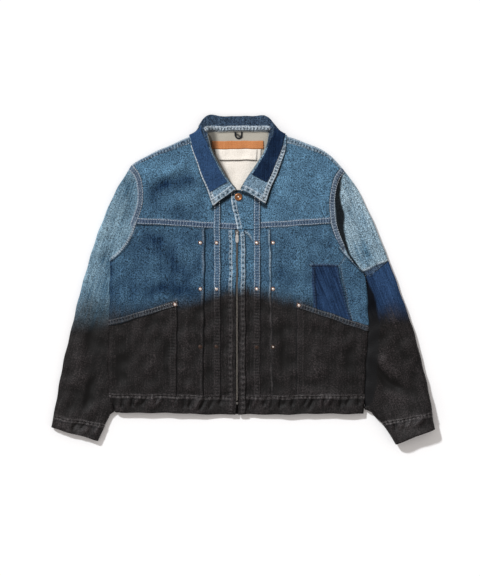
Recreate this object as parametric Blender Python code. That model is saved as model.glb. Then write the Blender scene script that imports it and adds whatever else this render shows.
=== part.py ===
"""Cropped zip-front denim jacket with sewn-on patches, laid flat on its back.

Lengths in the tables are millimetres in the garment's own frame: x across from the zip line (+x is the
wearer's left, which lies to the viewer's right), y up to the collar, z up from the surface it lies on.
Every piece of cloth is a sheet of points through the middle of the cloth, thickened evenly.
"""
from math import cos, pi, radians, sin

import bmesh
import bpy
from mathutils import Matrix, Vector

MM = 0.001

# Cloth thicknesses and the clearance kept between pieces
DENIM = 1.4
PATCH_CLOTH = 1.2
BAND = 3.0
COLLAR = 2.4
COLLAR_PATCH = 0.9
GAP = 0.3

# The body: a flattened tube with round side folds, its back on the floor
BODY_HEIGHT = 13.0
MIDDLE = BODY_HEIGHT / 2
TOP = BODY_HEIGHT - DENIM / 2

# The knife pleat: the front folds under itself, and its inner part lies two layers lower
PLEAT_PITCH = DENIM + 0.35
INNER_LEVEL = TOP - 2 * PLEAT_PITCH
PLEAT_EDGE = 71.5                # fold edge from the zip line at the yoke seam
PLEAT_LEAN = 0.0144              # how far the edge leans out for each millimetre down
PLEAT_DEPTH = 16.0
FRONT_EDGE = 3.0                 # from the zip line to the edge of a front
FLAT_ZONE = 54.0                 # the centre of the yokes and hem lies at the inner level up to here
SHOULDER_ZONE = 85.0             # and reaches the outer level here

# Levels of what is sewn on, from the middle of the cloth below to the middle of the piece
ON_DENIM = DENIM / 2 + GAP + PATCH_CLOTH / 2
ON_PATCH = ON_DENIM + PATCH_CLOTH + GAP

# The collar's leaf passes under the back, which is lifted by this much around the neck
NECK_LIFT = 4.3
NECK_LIFT_Y = (110.0, 190.0)     # y where the lift starts and where it is full
NECK_LIFT_X = (127.0, 175.0)     # x up to where it is full, and where it ends

# Half width of the body, y and x of its outermost cloth, from the hem up
SIDE = {
    "r": ((-300.0, 263.5), (-277.0, 275.0), (-256.0, 283.0), (60.0, 283.0)),
    "l": ((-300.0, 278.0), (-256.0, 280.5), (-181.5, 285.0), (-102.0, 289.5), (3.0, 285.5), (60.0, 285.5)),
}

# Armhole seam, x and y from the end of the shoulder seam down; the last is where the side fold starts
ARMHOLE = {
    "r": ((226.3, 248.2), (213.5, 233.0), (206.0, 209.0), (205.2, 182.0), (209.5, 151.0),
          (221.0, 122.5), (229.5, 95.0), (246.0, 68.5), (275.0, 43.0)),
    "l": ((226.3, 243.5), (213.5, 226.0), (205.0, 198.0), (202.0, 168.0), (203.0, 142.0),
          (206.5, 122.5), (216.0, 90.0), (237.6, 53.9), (274.0, 17.6)),
}
YOKE_END = 5                     # the armhole point where the yoke seam meets it
ARMPIT = {"r": 37.0, "l": 6.0}   # y of the top of the side seam

# Shoulder fold, x and y of the outermost cloth from the neck to the armhole
SHOULDER = {
    "r": ((80.0, 326.0), (118.0, 308.5), (156.0, 292.0), (190.0, 277.0), (212.0, 267.0), (230.0, 253.5)),
    "l": ((84.0, 326.0), (122.0, 311.5), (156.0, 299.5), (186.0, 287.0), (208.0, 273.0), (231.0, 248.0)),
}
SHOULDER_STRIP = 16.0            # how far the back comes over to the front beside the neck

# Inner edge of each yoke: down the neckline under the collar, then down the front edge
YOKE_EDGE = {
    "r": ((66.0, 272.0), (47.0, 238.0), (10.0, 194.0), (-3.0, 160.0)),
    "l": ((70.0, 272.0), (50.0, 238.0), (14.0, 194.0), (3.6, 160.0)),
}
YOKE_FRONT_EDGE = {"r": -3.0, "l": 3.6}
YOKE_SEAM = 110.0                # y at the zip line

# Hem: y of the hem seam and of the lower edge at the zip line and at the sides
HEM_SEAM = {"centre": -259.5, "r": -254.5, "l": -256.0}
HEM_EDGE = {"centre": -297.4, "r": -291.5, "l": -294.8}
REACH = 275.0                    # x where what runs out over the front counts as at the side
BAND_LIFT = 0.9                  # the bands stand this much above the cloth they hold

# How the body and its hem band turn at the sides: middle of the lower cloth, middle of the upper cloth,
# thickness, and how far the outermost cloth stands out from SIDE
FOLD = {
    "body": (DENIM / 2, TOP, DENIM, 0.0),
    "band": (BAND / 2, BODY_HEIGHT + BAND_LIFT - BAND / 2, BAND, BAND_LIFT),
}
SIDE_SEAM = {"body": 0.5, "band": 0.85}  # half of the open seam at a side fold, along the cloth

# Sleeves, a row for each ring from the armhole to the cuff seam: x and y of the outermost cloth, x and y
# of the middle of the inner fold, bow of the ring toward the body, height
SLEEVE = {
    "r": ((246.0, 230.5, 287.2, 33.0, 30.0, 12.2),
          (262.0, 205.0, 287.4, 24.0, 24.0, 11.4),
          (278.0, 172.5, 287.4, 12.0, 17.0, 11.2),
          (293.5, 132.0, 287.4, -5.0, 11.0, 11.6),
          (309.5, 92.0, 287.4, -32.0, 6.0, 12.0),
          (327.5, 40.0, 287.4, -74.0, 2.0, 11.4),
          (343.0, -22.0, 287.4, -122.0, 0.0, 12.4),
          (361.0, -88.0, 287.4, -170.0, 0.0, 11.2),
          (379.0, -164.0, 287.4, -218.0, 0.0, 12.6),
          (393.0, -230.0, 287.2, -254.0, 0.0, 11.6),
          (400.5, -276.0, 270.5, -289.5, 0.0, 12.4),
          (404.8, -302.0, 291.5, -321.8, 0.0, 12.0)),
    "l": ((252.0, 222.0, 290.2, 5.5, 31.0, 10.6),
          (270.0, 188.0, 291.4, 2.0, 25.0, 9.4),
          (287.5, 153.0, 292.6, -2.0, 17.0, 10.4),
          (307.0, 111.0, 293.6, -5.0, 9.0, 11.6),
          (333.0, 41.5, 295.2, -7.0, 0.0, 12.4),
          (349.5, 1.0, 294.8, -34.0, 3.0, 12.6),
          (366.0, -43.5, 294.2, -88.0, 1.0, 13.2),
          (386.5, -103.5, 294.2, -134.0, 0.0, 12.0),
          (405.0, -166.5, 291.5, -186.0, 0.0, 15.0),
          (419.5, -231.0, 286.4, -248.0, 0.0, 13.6),
          (425.5, -264.0, 285.4, -276.0, 0.0, 15.0),
          (428.5, -283.0, 300.5, -299.0, 0.0, 17.0),
          (430.5, -294.0, 320.5, -317.5, 0.0, 18.0)),
}
# Where the flat top of the first rings ends beside the armpit
HEEL = {
    "r": ((280.0, 42.0), (285.0, 38.0), (290.0, 29.0), (293.0, 12.0)),
    "l": ((275.6, 18.6), (277.4, 18.9), (280.0, 18.5), (284.0, 16.0), (291.5, 6.0), (303.0, -20.0)),
}
BLOCK_RING = 4                   # the ring where the wearer's left sleeve changes cloth
BLOCK_HEEL = (0.4, 0.2)          # how much further off the lower cloth starts at the end of its flat top
BLOCK_FOLD = (0.9, 0.3)          # and at its inner fold
ARMPIT_RING = {"r": (285.6, 40.5), "l": (289.0, 9.0)}
# Cuff edges, in the same columns
CUFF_EDGE = {"r": (409.6, -324.5, 305.8, -355.3, 0.0, 13.0), "l": (435.8, -327.0, 349.4, -362.6, 0.0, 19.0)}

SLEEVE_SEAM = 0.8                # between the armhole's edge and the sleeve, and between its two cloths

# Pockets: x of the upright edge at the top and bottom, and y of the slanted mouth at that edge and at
# the side
POCKET = {
    "r": {"top": 131.0, "bottom": 133.0, "mouth": -46.5, "mouth_side": -90.5},
    "l": {"top": 131.0, "bottom": 131.0, "mouth": -50.0, "mouth_side": -101.0},
}
WELT = 12.0
WELT_PAST = 0.9                  # how far the welt comes past the mouth's edge
ABOVE_HEM = 1.3                  # between the hem seam and the lower edge of a pocket

# Patches on the wearer's left: x of the dark one's corners at its foot and top, y of its top, and the
# left edge of the side one from its foot up
PATCH_FOOT = (169.4, 250.0)
PATCH_TOP = (162.8, 219.5)
PATCH_TOP_Y = 33.0
SIDE_PATCH_FOOT = 251.6
SIDE_PATCH_EDGE = (241.4, 229.5, 223.2)
SIDE_PATCH_TIP = (235.5, 238.7, 50.0)    # x from, x to and y of its narrow top at the armhole

# Straight pieces beside the zip
STRIP = {"r": (36.7, 50.6), "l": (37.0, 51.0)}
STRIP_TOP = 188.0
PLACKET = {"r": 17.6, "l": 18.7}
PLACKET_EDGE = 2.6
TAPE = 0.7
CHAIN_HALF = 2.3
CHAIN_LOW = 9.2
CHAIN_TOP = 12.3
ZIP_END = -269.5
ZIP_TOP = YOKE_SEAM - 0.7
STOP_LENGTH = 4.8
PLACKET_CORNER = {"r": 1.5, "l": 6.0}
SLIDER_Y = 103.0
SLIDER_PLATE = 2.0
SLIDER_OUTLINE = ((-3.2, -5.5), (3.2, -5.5), (3.6, -1.5), (4.6, 3.5), (3.0, 5.5), (-3.0, 5.5), (-4.6, 3.5),
                  (-3.6, -1.5))
EAR = (0.9, 3.2)                 # thickness across and length of an ear
EAR_X = 2.3
PIN_RADIUS = 0.7
EYE_RADIUS = 1.8
PULL_LEVEL = CHAIN_TOP + GAP + SLIDER_PLATE + EYE_RADIUS + GAP
PULL_LENGTH = 22.0
PULL_THICKNESS = 1.2
PULL_SIDE = ((1.2, 0.0), (1.2, -4.2), (3.2, -6.5), (3.4, -18.0), (2.4, -PULL_LENGTH))
EYE_WIDTH = 3.0
PULL_REST = 9.0                  # degrees that the tab leans down to the plackets

RIVET_ROWS = (80.5, -21.0, -148.5)
RIVET_COLUMNS = {"r": (45.0, 80.5), "l": (43.5, 79.5)}
# Turned pieces: radius and height down their outer side, from the top of the axis to the bottom
BUTTON = ((0.0, 3.4), (1.6, 3.0), (2.2, 1.6), (3.6, 1.5), (5.2, 3.6), (7.2, 3.9), (8.6, 2.6), (8.8, 1.0),
          (8.0, 0.0), (0.0, 0.0))
BUTTON_AT = (3.3, 181.5)
RIVET = ((0.0, 1.9), (1.2, 1.8), (1.9, 1.0), (3.2, 0.9), (4.2, 0.0), (0.0, 0.0))
POCKET_RIVET = {"r": (136.0, -55.0), "l": (136.0, -57.0)}

# The tab that laps over above the zip: y and x of its free edge
NECK_TAB = ((YOKE_SEAM + GAP, 1.0), (140.0, -6.0), (176.0, -14.0), (191.0, -14.5), (197.0, -9.0))

# Inside the neck: x from and to, y from and to of the leather strip and the labels
LEATHER = 1.6
LABEL = 0.8
LEATHER_STRIP = (-56.0, 58.0, 287.5, 305.0)
LABEL_LARGE = (-48.4, 52.8, 205.0, 286.9)
LABEL_SMALL = (-39.6, 44.0, 263.0, 286.0)
SMALL_LIFTS = 1.6                # its lower edge stands off this much
HANGER = {"x": 3.2, "bottom": 317.5, "top": 325.0, "outer": 9.0, "inner": 5.6}
NECK_BACK = 331.0                # y of the back's neck edge in the middle
BACK_CURVE = 1.6                 # how late the back's rows bend down to the armholes

# Heights of the rows of a front between the hem and the armpit
SIDE_ROWS = {"r": (-181.5, -102.0, -30.0), "l": (-181.5, -102.0, -48.0)}

# The collar in front: neck seam, roll line and outer edge of the leaf, then levels of the stand, of the
# leaf just past the roll line, and of the leaf's middle
COLLAR_FRONT = {
    "r": (((5.0, 195.5, 12.9), (2.8, 200.0, 15.5), (52.4, 162.6, 13.0), 14.4, 15.4, 14.4),
          ((20.0, 207.5, 13.0), (16.5, 216.0, 18.5), (63.5, 191.5, 13.2), 16.5, 17.8, 15.0),
          ((43.0, 239.0, 13.2), (37.0, 246.0, 20.5), (78.5, 230.0, 14.4), 17.5, 19.4, 16.4),
          ((58.5, 272.0, 13.4), (52.5, 277.0, 20.5), (92.0, 268.0, 14.9), 17.5, 19.4, 16.6),
          ((67.0, 297.0, 13.2), (61.5, 301.0, 19.5), (101.5, 294.0, 14.9), 17.0, 18.6, 16.2)),
    "l": (((10.0, 194.5, 12.9), (8.0, 199.0, 15.5), (61.6, 168.0, 13.0), 14.4, 15.4, 14.4),
          ((32.5, 223.5, 13.1), (28.5, 232.0, 19.0), (76.5, 209.0, 14.0), 16.5, 18.0, 15.6),
          ((48.0, 247.0, 13.2), (43.0, 252.0, 20.5), (88.0, 232.0, 14.6), 17.5, 19.4, 16.4),
          ((61.0, 270.0, 13.4), (56.5, 273.0, 20.5), (98.0, 258.0, 14.9), 17.5, 19.4, 16.6),
          ((70.0, 297.0, 13.2), (67.0, 301.0, 19.5), (107.0, 286.0, 14.9), 17.0, 18.6, 16.2)),
}
# Round the shoulder: degrees about the shoulder fold, neck seam, roll line, and the leaf just past it
COLLAR_SHOULDER = {
    "r": ((0, (73.0, 313.0, 12.4), (66.0, 318.0, 18.0), (82.0, 314.5, 16.2)),
          (45, (75.0, 320.0, 11.2), (69.5, 327.5, 17.0), (84.5, 326.0, 13.8)),
          (90, (75.0, 325.5, 9.8), (74.5, 336.0, 15.0), (85.5, 333.5, 9.2)),
          (135, (71.0, 328.0, 8.6), (77.0, 343.5, 12.5), (83.0, 338.0, 4.8)),
          (180, (64.0, 328.5, 7.6), (70.0, 351.0, 9.5), (76.0, 342.0, 2.6))),
    "l": ((0, (76.0, 313.0, 12.4), (70.0, 318.0, 18.0), (85.0, 314.5, 16.2)),
          (45, (78.0, 320.0, 11.2), (73.0, 327.5, 17.0), (87.5, 326.0, 13.8)),
          (90, (78.0, 325.5, 9.8), (76.5, 336.0, 15.0), (88.0, 333.5, 9.2)),
          (135, (73.0, 328.0, 8.6), (76.0, 343.5, 12.5), (84.0, 338.0, 4.8)),
          (180, (64.0, 328.5, 7.6), (66.0, 351.0, 9.5), (74.0, 342.0, 2.6))),
}
COLLAR_SLACK = (0.3, 1.1, 1.4, 1.1, 0.0)  # how loose the dark cloth is over the same sections
LEAF_OVER_SHOULDER = {"r": (97.0, 106.0), "l": (101.0, 110.0)}
LEAF_RADIUS = 5.95
# Across the back: neck seam, roll line, and x, y of the leaf's outer edge under the back
COLLAR_BACK = {
    "r": (((45.0, 328.5, 7.3), (58.0, 358.0, 6.2), (80.0, 284.0)),
          ((22.0, 328.5, 7.2), (28.0, 358.6, 5.6), (38.0, 280.0))),
    "l": (((45.0, 328.5, 7.3), (50.0, 358.0, 6.2), (80.0, 284.0)),
          ((22.0, 328.5, 7.2), (25.0, 358.6, 5.6), (38.0, 280.0))),
}
# Where the points between those stand, as shares of the way, and how the stand is raised
STAND_SHARE = 0.6
STAND_BOW = 0.6
PAST_ROLL = 0.14
HALF_LEAF = 0.55
BACK_STAND_SHARE = 0.75
BACK_STAND = 8.6
PAST_BACK_ROLL = 0.1
COVER_START = 0.6                # the dark cloth starts this far from the roll line to the point past it
COLLAR_BORDER = {"r": 0.85, "l": 0.5}    # share of the leaf's last stretch that the dark cloth covers

SIGN = {"r": -1.0, "l": 1.0}


def clear_scene():
    """Start from an empty scene."""
    for old in list(bpy.data.objects):
        bpy.data.objects.remove(old, do_unlink=True)


def lerp(start, end, share):
    return start + (end - start) * share


def ramp(value, start, end):
    """0 before start, 1 after end and straight between them."""
    return min(1.0, max(0.0, (value - start) / (end - start)))


def along(table, at):
    """The second column of a table, read at a value of its first."""
    for (y0, v0), (y1, v1) in zip(table, table[1:]):
        if at <= y1:
            return lerp(v0, v1, ramp(at, y0, y1))
    return table[-1][1]


def material(name, colour, roughness=0.9, metallic=0.0):
    """A plain finish; colour is sRGB in hex."""
    found = bpy.data.materials.get(name)
    if found:
        return found
    found = bpy.data.materials.new(name)
    found.use_nodes = True
    linear = [(int(colour[i:i + 2], 16) / 255) ** 2.2 for i in (1, 3, 5)]
    shader = found.node_tree.nodes["Principled BSDF"]
    shader.inputs["Base Color"].default_value = (*linear, 1.0)
    shader.inputs["Roughness"].default_value = roughness
    shader.inputs["Metallic"].default_value = metallic
    found.diffuse_color = (*linear, 1.0)
    return found


def blue_denim():
    return material("blue_denim", "#3f6788")


def pale_denim():
    return material("pale_denim", "#87a0ab")


def indigo_cloth():
    return material("indigo_cloth", "#203958")


def dyed_denim():
    return material("dyed_denim", "#262425")


def steel():
    return material("zip_metal", "#b9b4a8", 0.35, 1.0)


def copper():
    return material("copper", "#b06a35", 0.35, 1.0)


def add_object(name, mesh, finish):
    mesh.materials.append(finish)
    made = bpy.data.objects.new(name, mesh)
    bpy.context.collection.objects.link(made)
    return made


def join_rows(bm, rows, closed=False):
    """Faces between rows of vertices of the same length."""
    for lower, upper in zip(rows, rows[1:]):
        count = len(lower)
        for i in range(count if closed else count - 1):
            j = (i + 1) % count
            bm.faces.new((lower[i], lower[j], upper[j], upper[i]))


def thicken(name, bm, thickness, finish):
    """Make the sheet an object and give it the thickness of its cloth, half on each side."""
    bmesh.ops.recalc_face_normals(bm, faces=bm.faces)
    mesh = bpy.data.meshes.new(name)
    bm.to_mesh(mesh)
    bm.free()
    made = add_object(name, mesh, finish)
    wall = made.modifiers.new("cloth thickness", "SOLIDIFY")
    wall.thickness = thickness * MM
    wall.offset = 0.0
    return made


def cloth(name, rows, thickness, finish, closed=False):
    """A piece of cloth: rows of points joined by quads, closed into a tube or open."""
    bm = bmesh.new()
    join_rows(bm, [[bm.verts.new(Vector(point) * MM) for point in row] for row in rows], closed)
    return thicken(name, bm, thickness, finish)


def side_fold(side, y, kind="body"):
    """Centre x, radius and centre z of the side fold at height y."""
    low, high, thickness, stand_out = FOLD[kind]
    radius = (high - low) / 2
    return along(SIDE[side], y) + stand_out - thickness / 2 - radius, radius, (low + high) / 2


def wrapped(side, a, y, lift=0.0, kind="body"):
    """A point of the front, a along the cloth from the zip line, going down round the side fold."""
    centre, radius, level = side_fold(side, y, kind)
    turn = max(0.0, (a - centre) / radius)
    out = min(a, centre) + (radius + lift) * sin(turn)
    return (SIGN[side] * out, y, level + (radius + lift) * cos(turn))


def centre_level(x):
    """The yokes and hem dip to the inner level beside the zip."""
    return lerp(INNER_LEVEL, TOP, ramp(abs(x), FLAT_ZONE, SHOULDER_ZONE))


def front_rows(side):
    """Rows of a front from the hem seam up: y at the zip, y at the side, x of an armhole end or None."""
    hem, armpit = HEM_SEAM[side] + GAP, ARMPIT[side]
    rows = [(HEM_SEAM["centre"] + GAP, hem, None)]
    rows += [(y, y, None) for y in SIDE_ROWS[side] + (armpit,)]
    count = len(ARMHOLE[side]) - YOKE_END
    for step, (end_x, end_y) in enumerate(reversed(ARMHOLE[side][YOKE_END:]), start=1):
        drop = GAP if step == count else 0.0
        rows.append((lerp(armpit, YOKE_SEAM, step / count) - drop, end_y - drop, end_x))
    return rows


def front_point(side, row, a, lift=0.0):
    """A point over a front in one of its rows, a along the cloth from the zip line."""
    y_centre, y_side, end_x = row
    if end_x is None:
        reach = side_fold(side, y_side)[0]
        return wrapped(side, a, lerp(y_centre, y_side, min(1.0, a / reach)), lift)
    return (SIGN[side] * a, lerp(y_centre, y_side, a / end_x), TOP + lift)


def side_stations(side, row, start):
    """Where the columns of a row stand between a start and the side seam or armhole."""
    _, y_side, end_x = row
    if end_x is None:
        flat_end, radius, _ = side_fold(side, y_side)
        last = (0.0, radius * pi / 4, radius * pi / 2 - SIDE_SEAM["body"])
    else:
        flat_end = end_x - 6.0
        last = (0.0, 3.0, 6.0)
    return [lerp(start, flat_end, share) for share in (0.0, 0.25, 0.5, 0.75)] + [flat_end + a for a in last]


def bend(x, y, low, high, way):
    """A fold of the cloth from one level to a higher one, bulging to +x or -x."""
    half = (high - low) / 2
    return [(x + way * half * sin(radians(turn)), y, low + half - half * cos(radians(turn)))
            for turn in (45, 90, 135)]


def make_front(side):
    """A front below the yoke: an inner part, a knife pleat, then out and down to the side seam."""
    sign = SIGN[side]
    middle_level = INNER_LEVEL + PLEAT_PITCH
    rows = []
    for row in front_rows(side):
        edge = PLEAT_EDGE + (YOKE_SEAM - row[0]) * PLEAT_LEAN
        tuck = edge + PLEAT_DEPTH
        inner = [front_point(side, row, a) for a in (FRONT_EDGE, 17.0, 35.0, FLAT_ZONE, edge, tuck)]
        y_edge, y_tuck = inner[4][1], inner[5][1]
        section = [(x, y, INNER_LEVEL) for x, y, _ in inner]
        section += bend(sign * tuck, y_tuck, INNER_LEVEL, middle_level, sign)
        section += [(sign * tuck, y_tuck, middle_level), (sign * edge, y_edge, middle_level)]
        section += bend(sign * edge, y_edge, middle_level, TOP, -sign)
        section += [front_point(side, row, a) for a in side_stations(side, row, edge)]
        rows.append(section)
    cloth("front_" + side, rows, DENIM, blue_denim())


def shoulder_points(side):
    """For each point of the shoulder fold: its outermost x, y and the way into the garment."""
    fold = SHOULDER[side]
    found = []
    for i, (x, y) in enumerate(fold):
        before, after = fold[max(0, i - 1)], fold[min(len(fold) - 1, i + 1)]
        run = Vector((after[0] - before[0], after[1] - before[1])).normalized()
        found.append((Vector((x, y)), Vector((run.y, -run.x))))
    return found


def shoulder_seam(side, past=0.0):
    """The shoulder seam on the front, from the neck to the armhole; past moves it into the front."""
    points = shoulder_points(side)
    deepest = len(points) - 1
    return [at + inward * (lerp(SHOULDER_STRIP, MIDDLE + 0.3, i / deepest) + past)
            for i, (at, inward) in enumerate(points)]


def make_yoke(side):
    """A front yoke: from the shoulder seam down to the yoke seam, under the collar at the neck."""
    sign = SIGN[side]
    rows = [[(sign * at.x, at.y, TOP) for at in shoulder_seam(side, GAP)]]
    edge = YOKE_EDGE[side] + ((YOKE_FRONT_EDGE[side], YOKE_SEAM + GAP),)
    for (in_x, in_y), (end_x, end_y) in zip(edge, ARMHOLE[side][1:YOKE_END + 1]):
        if in_y == edge[-1][1]:
            end_y += GAP
        stations = [in_x, max(FLAT_ZONE, in_x + 6.0), max(SHOULDER_ZONE, in_x + 12.0)]
        stations += [lerp(stations[2], end_x, share) for share in (0.33, 0.67, 1.0)]
        rows.append([(sign * x, lerp(in_y, end_y, (x - in_x) / (end_x - in_x)), centre_level(x))
                     for x in stations])
    cloth("yoke_" + side, rows, DENIM, blue_denim())


def neck_lift(x, y):
    """How far the back is lifted off the floor by the collar's leaf beneath it."""
    return NECK_LIFT * ramp(y, *NECK_LIFT_Y) * (1.0 - ramp(abs(x), *NECK_LIFT_X))


def back_point(side, a, y, wrap):
    """A point of the back, a along the cloth from the middle, rounded up at the side folds."""
    if wrap:
        x, _, z = wrapped(side, a, y)
        return (x, y, BODY_HEIGHT - z + neck_lift(x, y))
    x = SIGN[side] * a
    return (x, y, DENIM / 2 + neck_lift(x, y))


def back_half(side, row):
    """Half a row of the back, from the middle out to the side seam or armhole."""
    y_middle, y_side, end_x = row
    points = []
    for a in side_stations(side, row, 0.0):
        reach = side_fold(side, y_side)[0] if end_x is None else end_x
        share = min(1.0, a / reach)
        y = lerp(y_middle, y_side, share ** BACK_CURVE if end_x else share)
        points.append(back_point(side, a, y, end_x is None))
    return points


def make_back():
    """The back, one piece: flat on the floor, up round the sides and over the shoulders to the front."""
    halves = {}
    for side in "rl":
        hem, armpit = HEM_SEAM[side] + GAP, ARMPIT[side]
        rows = [(HEM_SEAM["centre"] + GAP, hem, None)]
        rows += [(y, y, None) for y in SIDE_ROWS[side] + (armpit,)]
        upper = list(reversed(ARMHOLE[side][1:]))
        for step, (end_x, end_y) in enumerate(upper, start=1):
            rows.append((lerp(20.0, NECK_BACK - 14.0, step / len(upper)), end_y, end_x))
        halves[side] = [back_half(side, row) for row in rows]
    grid = [list(reversed(right)) + left[1:] for right, left in zip(halves["r"], halves["l"])]
    turns = (0, 45, 90, 135, 180)
    folds = {side: shoulder_fold(side, turns) for side in "rl"}
    top = list(reversed(folds["r"][0])) + [(0.0, NECK_BACK, DENIM / 2 + NECK_LIFT)] + folds["l"][0]
    grid.append(top)
    bm = bmesh.new()
    verts = [[bm.verts.new(Vector(point) * MM) for point in row] for row in grid]
    join_rows(bm, verts)
    for side, shoulder in (("r", list(reversed(verts[-1][:6]))), ("l", verts[-1][7:])):
        strip = [shoulder]
        for fold in folds[side][1:]:
            strip.append([bm.verts.new(Vector(point) * MM) for point in fold])
        join_rows(bm, strip)
    thicken("back", bm, DENIM, blue_denim())


def shoulder_fold(side, turns):
    """Rows of the back over the shoulder: round the fold, then the strip that lies on the front."""
    rows = []
    for turn in turns:
        row = []
        for at, inward in shoulder_points(side):
            low = DENIM / 2 + neck_lift(at.x, at.y)
            radius = (TOP - low) / 2
            out = at + inward * (radius + DENIM / 2 - radius * sin(radians(turn)))
            row.append((SIGN[side] * out.x, out.y, low + radius - radius * cos(radians(turn))))
        rows.append(row)
    rows.append([(SIGN[side] * at.x, at.y, TOP) for at in shoulder_seam(side)])
    return rows


def armhole_shares(side):
    """How far along the armhole each of its points is, from 0 to 1."""
    points = [Vector(p) for p in ARMHOLE[side]]
    lengths = [0.0]
    for before, after in zip(points, points[1:]):
        lengths.append(lengths[-1] + (after - before).length)
    return [length / lengths[-1] for length in lengths]


def sleeve_plan(side, row, heel=None, thickness=DENIM):
    """Plan of one ring of a sleeve: the outer fold, the flat top's points and the inner fold."""
    outer, fold = Vector(row[0:2]), Vector(row[2:4])
    across = (fold - outer).normalized()
    toward_body = Vector((across.y, -across.x))
    radius = (row[5] - thickness) / 2
    start = outer + across * (radius + thickness / 2)
    end = Vector(heel) if heel else fold - across * radius
    flats = []
    for share in armhole_shares(side):
        flats.append(start.lerp(end, share) + toward_body * row[4] * 4 * share * (1 - share))
    return outer + across * thickness / 2, flats, fold


def ring(side, plan, height, thickness=DENIM):
    """A closed ring of a flattened sleeve: over the top from the outer fold to the inner, back under."""
    outer, flats, fold = plan
    low, high = thickness / 2, height - thickness / 2
    level, radius = (low + high) / 2, (high - low) / 2
    slant = sin(radians(45))
    upper = [(outer, level), (lerp(flats[0], outer, slant), level + radius * slant)]
    upper += [(at, high) for at in flats]
    upper += [(lerp(flats[-1], fold, slant), level + radius * slant), (fold, level)]
    under = [(at, 2 * level - z) for at, z in reversed(upper[1:-1])]
    return [(SIGN[side] * at.x, at.y, z) for at, z in upper + under]


def moved_off(plan, distance):
    """The plan of a ring moved square to its own line, down the sleeve."""
    outer, flats, fold = plan
    line = [outer] + flats + [fold]
    moved = []
    for i, at in enumerate(line):
        run = (line[min(i + 1, len(line) - 1)] - line[max(i - 1, 0)]).normalized()
        moved.append(at + Vector((-run.y, run.x)) * distance)
    return moved[0], moved[1:-1], moved[-1]


def armhole_plan(side):
    """Plan of the sleeve's first ring, just off the armhole seam."""
    inward = shoulder_points(side)[-1][1]
    seam = [Vector(point) for point in ARMHOLE[side]]
    outer = seam[0] - inward * (BODY_HEIGHT - DENIM) / 2
    outer, flats, _ = moved_off((outer, seam, Vector(ARMPIT_RING[side])), SLEEVE_SEAM)
    return outer, flats, Vector(ARMPIT_RING[side])


def row_between(row, other, share):
    return tuple(lerp(a, b, share) for a, b in zip(row, other))


def make_sleeves():
    """Each sleeve is a tube from the armhole to the cuff; the wearer's left one changes cloth on its way."""
    for side in "rl":
        plans = []
        for i, row in enumerate(SLEEVE[side]):
            heel = HEEL[side][i] if i < len(HEEL[side]) else None
            plans.append((sleeve_plan(side, row, heel), row[5]))
        plans.insert(0, (armhole_plan(side), BODY_HEIGHT))
        if side == "r":
            cloth("sleeve_r", [ring(side, *plan) for plan in plans], DENIM, pale_denim(), closed=True)
        else:
            block = BLOCK_RING + 1
            upper = [ring(side, *plan) for plan in plans[:block + 1]]
            plan, height = plans[block]
            outer, flats, fold = moved_off(plan, SLEEVE_SEAM)
            flats[-1] += Vector(BLOCK_HEEL)
            fold += Vector(BLOCK_FOLD)
            first = ring(side, (outer, flats, fold), height)
            lower = [first] + [ring(side, *plan) for plan in plans[block + 1:]]
            cloth("sleeve_l_upper", upper, DENIM, pale_denim(), closed=True)
            cloth("sleeve_l_lower", lower, DENIM, indigo_cloth(), closed=True)
        rows = [row_between(SLEEVE[side][-1], CUFF_EDGE[side], share) for share in (0.015, 0.5, 1.0)]
        rings = [ring(side, sleeve_plan(side, row, None, BAND), row[5] + BAND_LIFT, BAND) for row in rows]
        cloth("cuff_" + side, rings, BAND, dyed_denim(), closed=True)


def hem_y(side, a, share):
    """y in the hem band, from its seam (0) to its lower edge (1), a out from the zip line."""
    seam = lerp(HEM_SEAM["centre"], HEM_SEAM[side], min(1.0, a / REACH))
    edge = lerp(HEM_EDGE["centre"], HEM_EDGE[side], min(1.0, a / REACH))
    return lerp(seam - GAP, edge, share)


def band_row(side, share, start):
    """A row of the hem band on the front, from a start out to the side seam."""
    y_side = hem_y(side, REACH, share)
    flat_end, radius, _ = side_fold(side, y_side, "band")
    flats = [start] + [a for a in (FLAT_ZONE, SHOULDER_ZONE) if a > start]
    flats += [lerp(SHOULDER_ZONE, flat_end, s) for s in (0.5, 1.0)]
    turns = [flat_end + radius * pi / 4, flat_end + radius * pi / 2 - SIDE_SEAM["band"]]
    row = []
    for a in flats + turns:
        x, y, z = wrapped(side, a, hem_y(side, min(a, REACH), share), kind="band")
        if a < SHOULDER_ZONE:
            z -= TOP - INNER_LEVEL + BAND_LIFT
        row.append((x, y, z))
    return row


def make_hem():
    """The hem band: two fronts that end at the zip, and a back."""
    shares = (0.0, 0.5, 1.0)
    for side in "rl":
        cloth("hem_" + side, [band_row(side, share, FRONT_EDGE) for share in shares], BAND, dyed_denim())
    rows = []
    for share in shares:
        row = []
        for side in "rl":
            upper = [p for p in band_row(side, share, FRONT_EDGE) if abs(p[0]) > SHOULDER_ZONE + 1.0]
            level = side_fold(side, 0.0, "band")[2]
            half = [(x, y, 2 * level - z) for x, y, z in upper]
            row += list(reversed(half)) if side == "r" else [(0.0, hem_y("r", 0.0, share), BAND / 2)] + half
        rows.append(row)
    cloth("hem_back", rows, BAND, dyed_denim())


def mouth_y(side, a):
    """y of the pocket's slanted mouth."""
    pocket = POCKET[side]
    reach = side_fold(side, pocket["mouth_side"])[0]
    share = min(1.0, (a - pocket["top"]) / (reach - pocket["top"]))
    return lerp(pocket["mouth"], pocket["mouth_side"], share)


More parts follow.
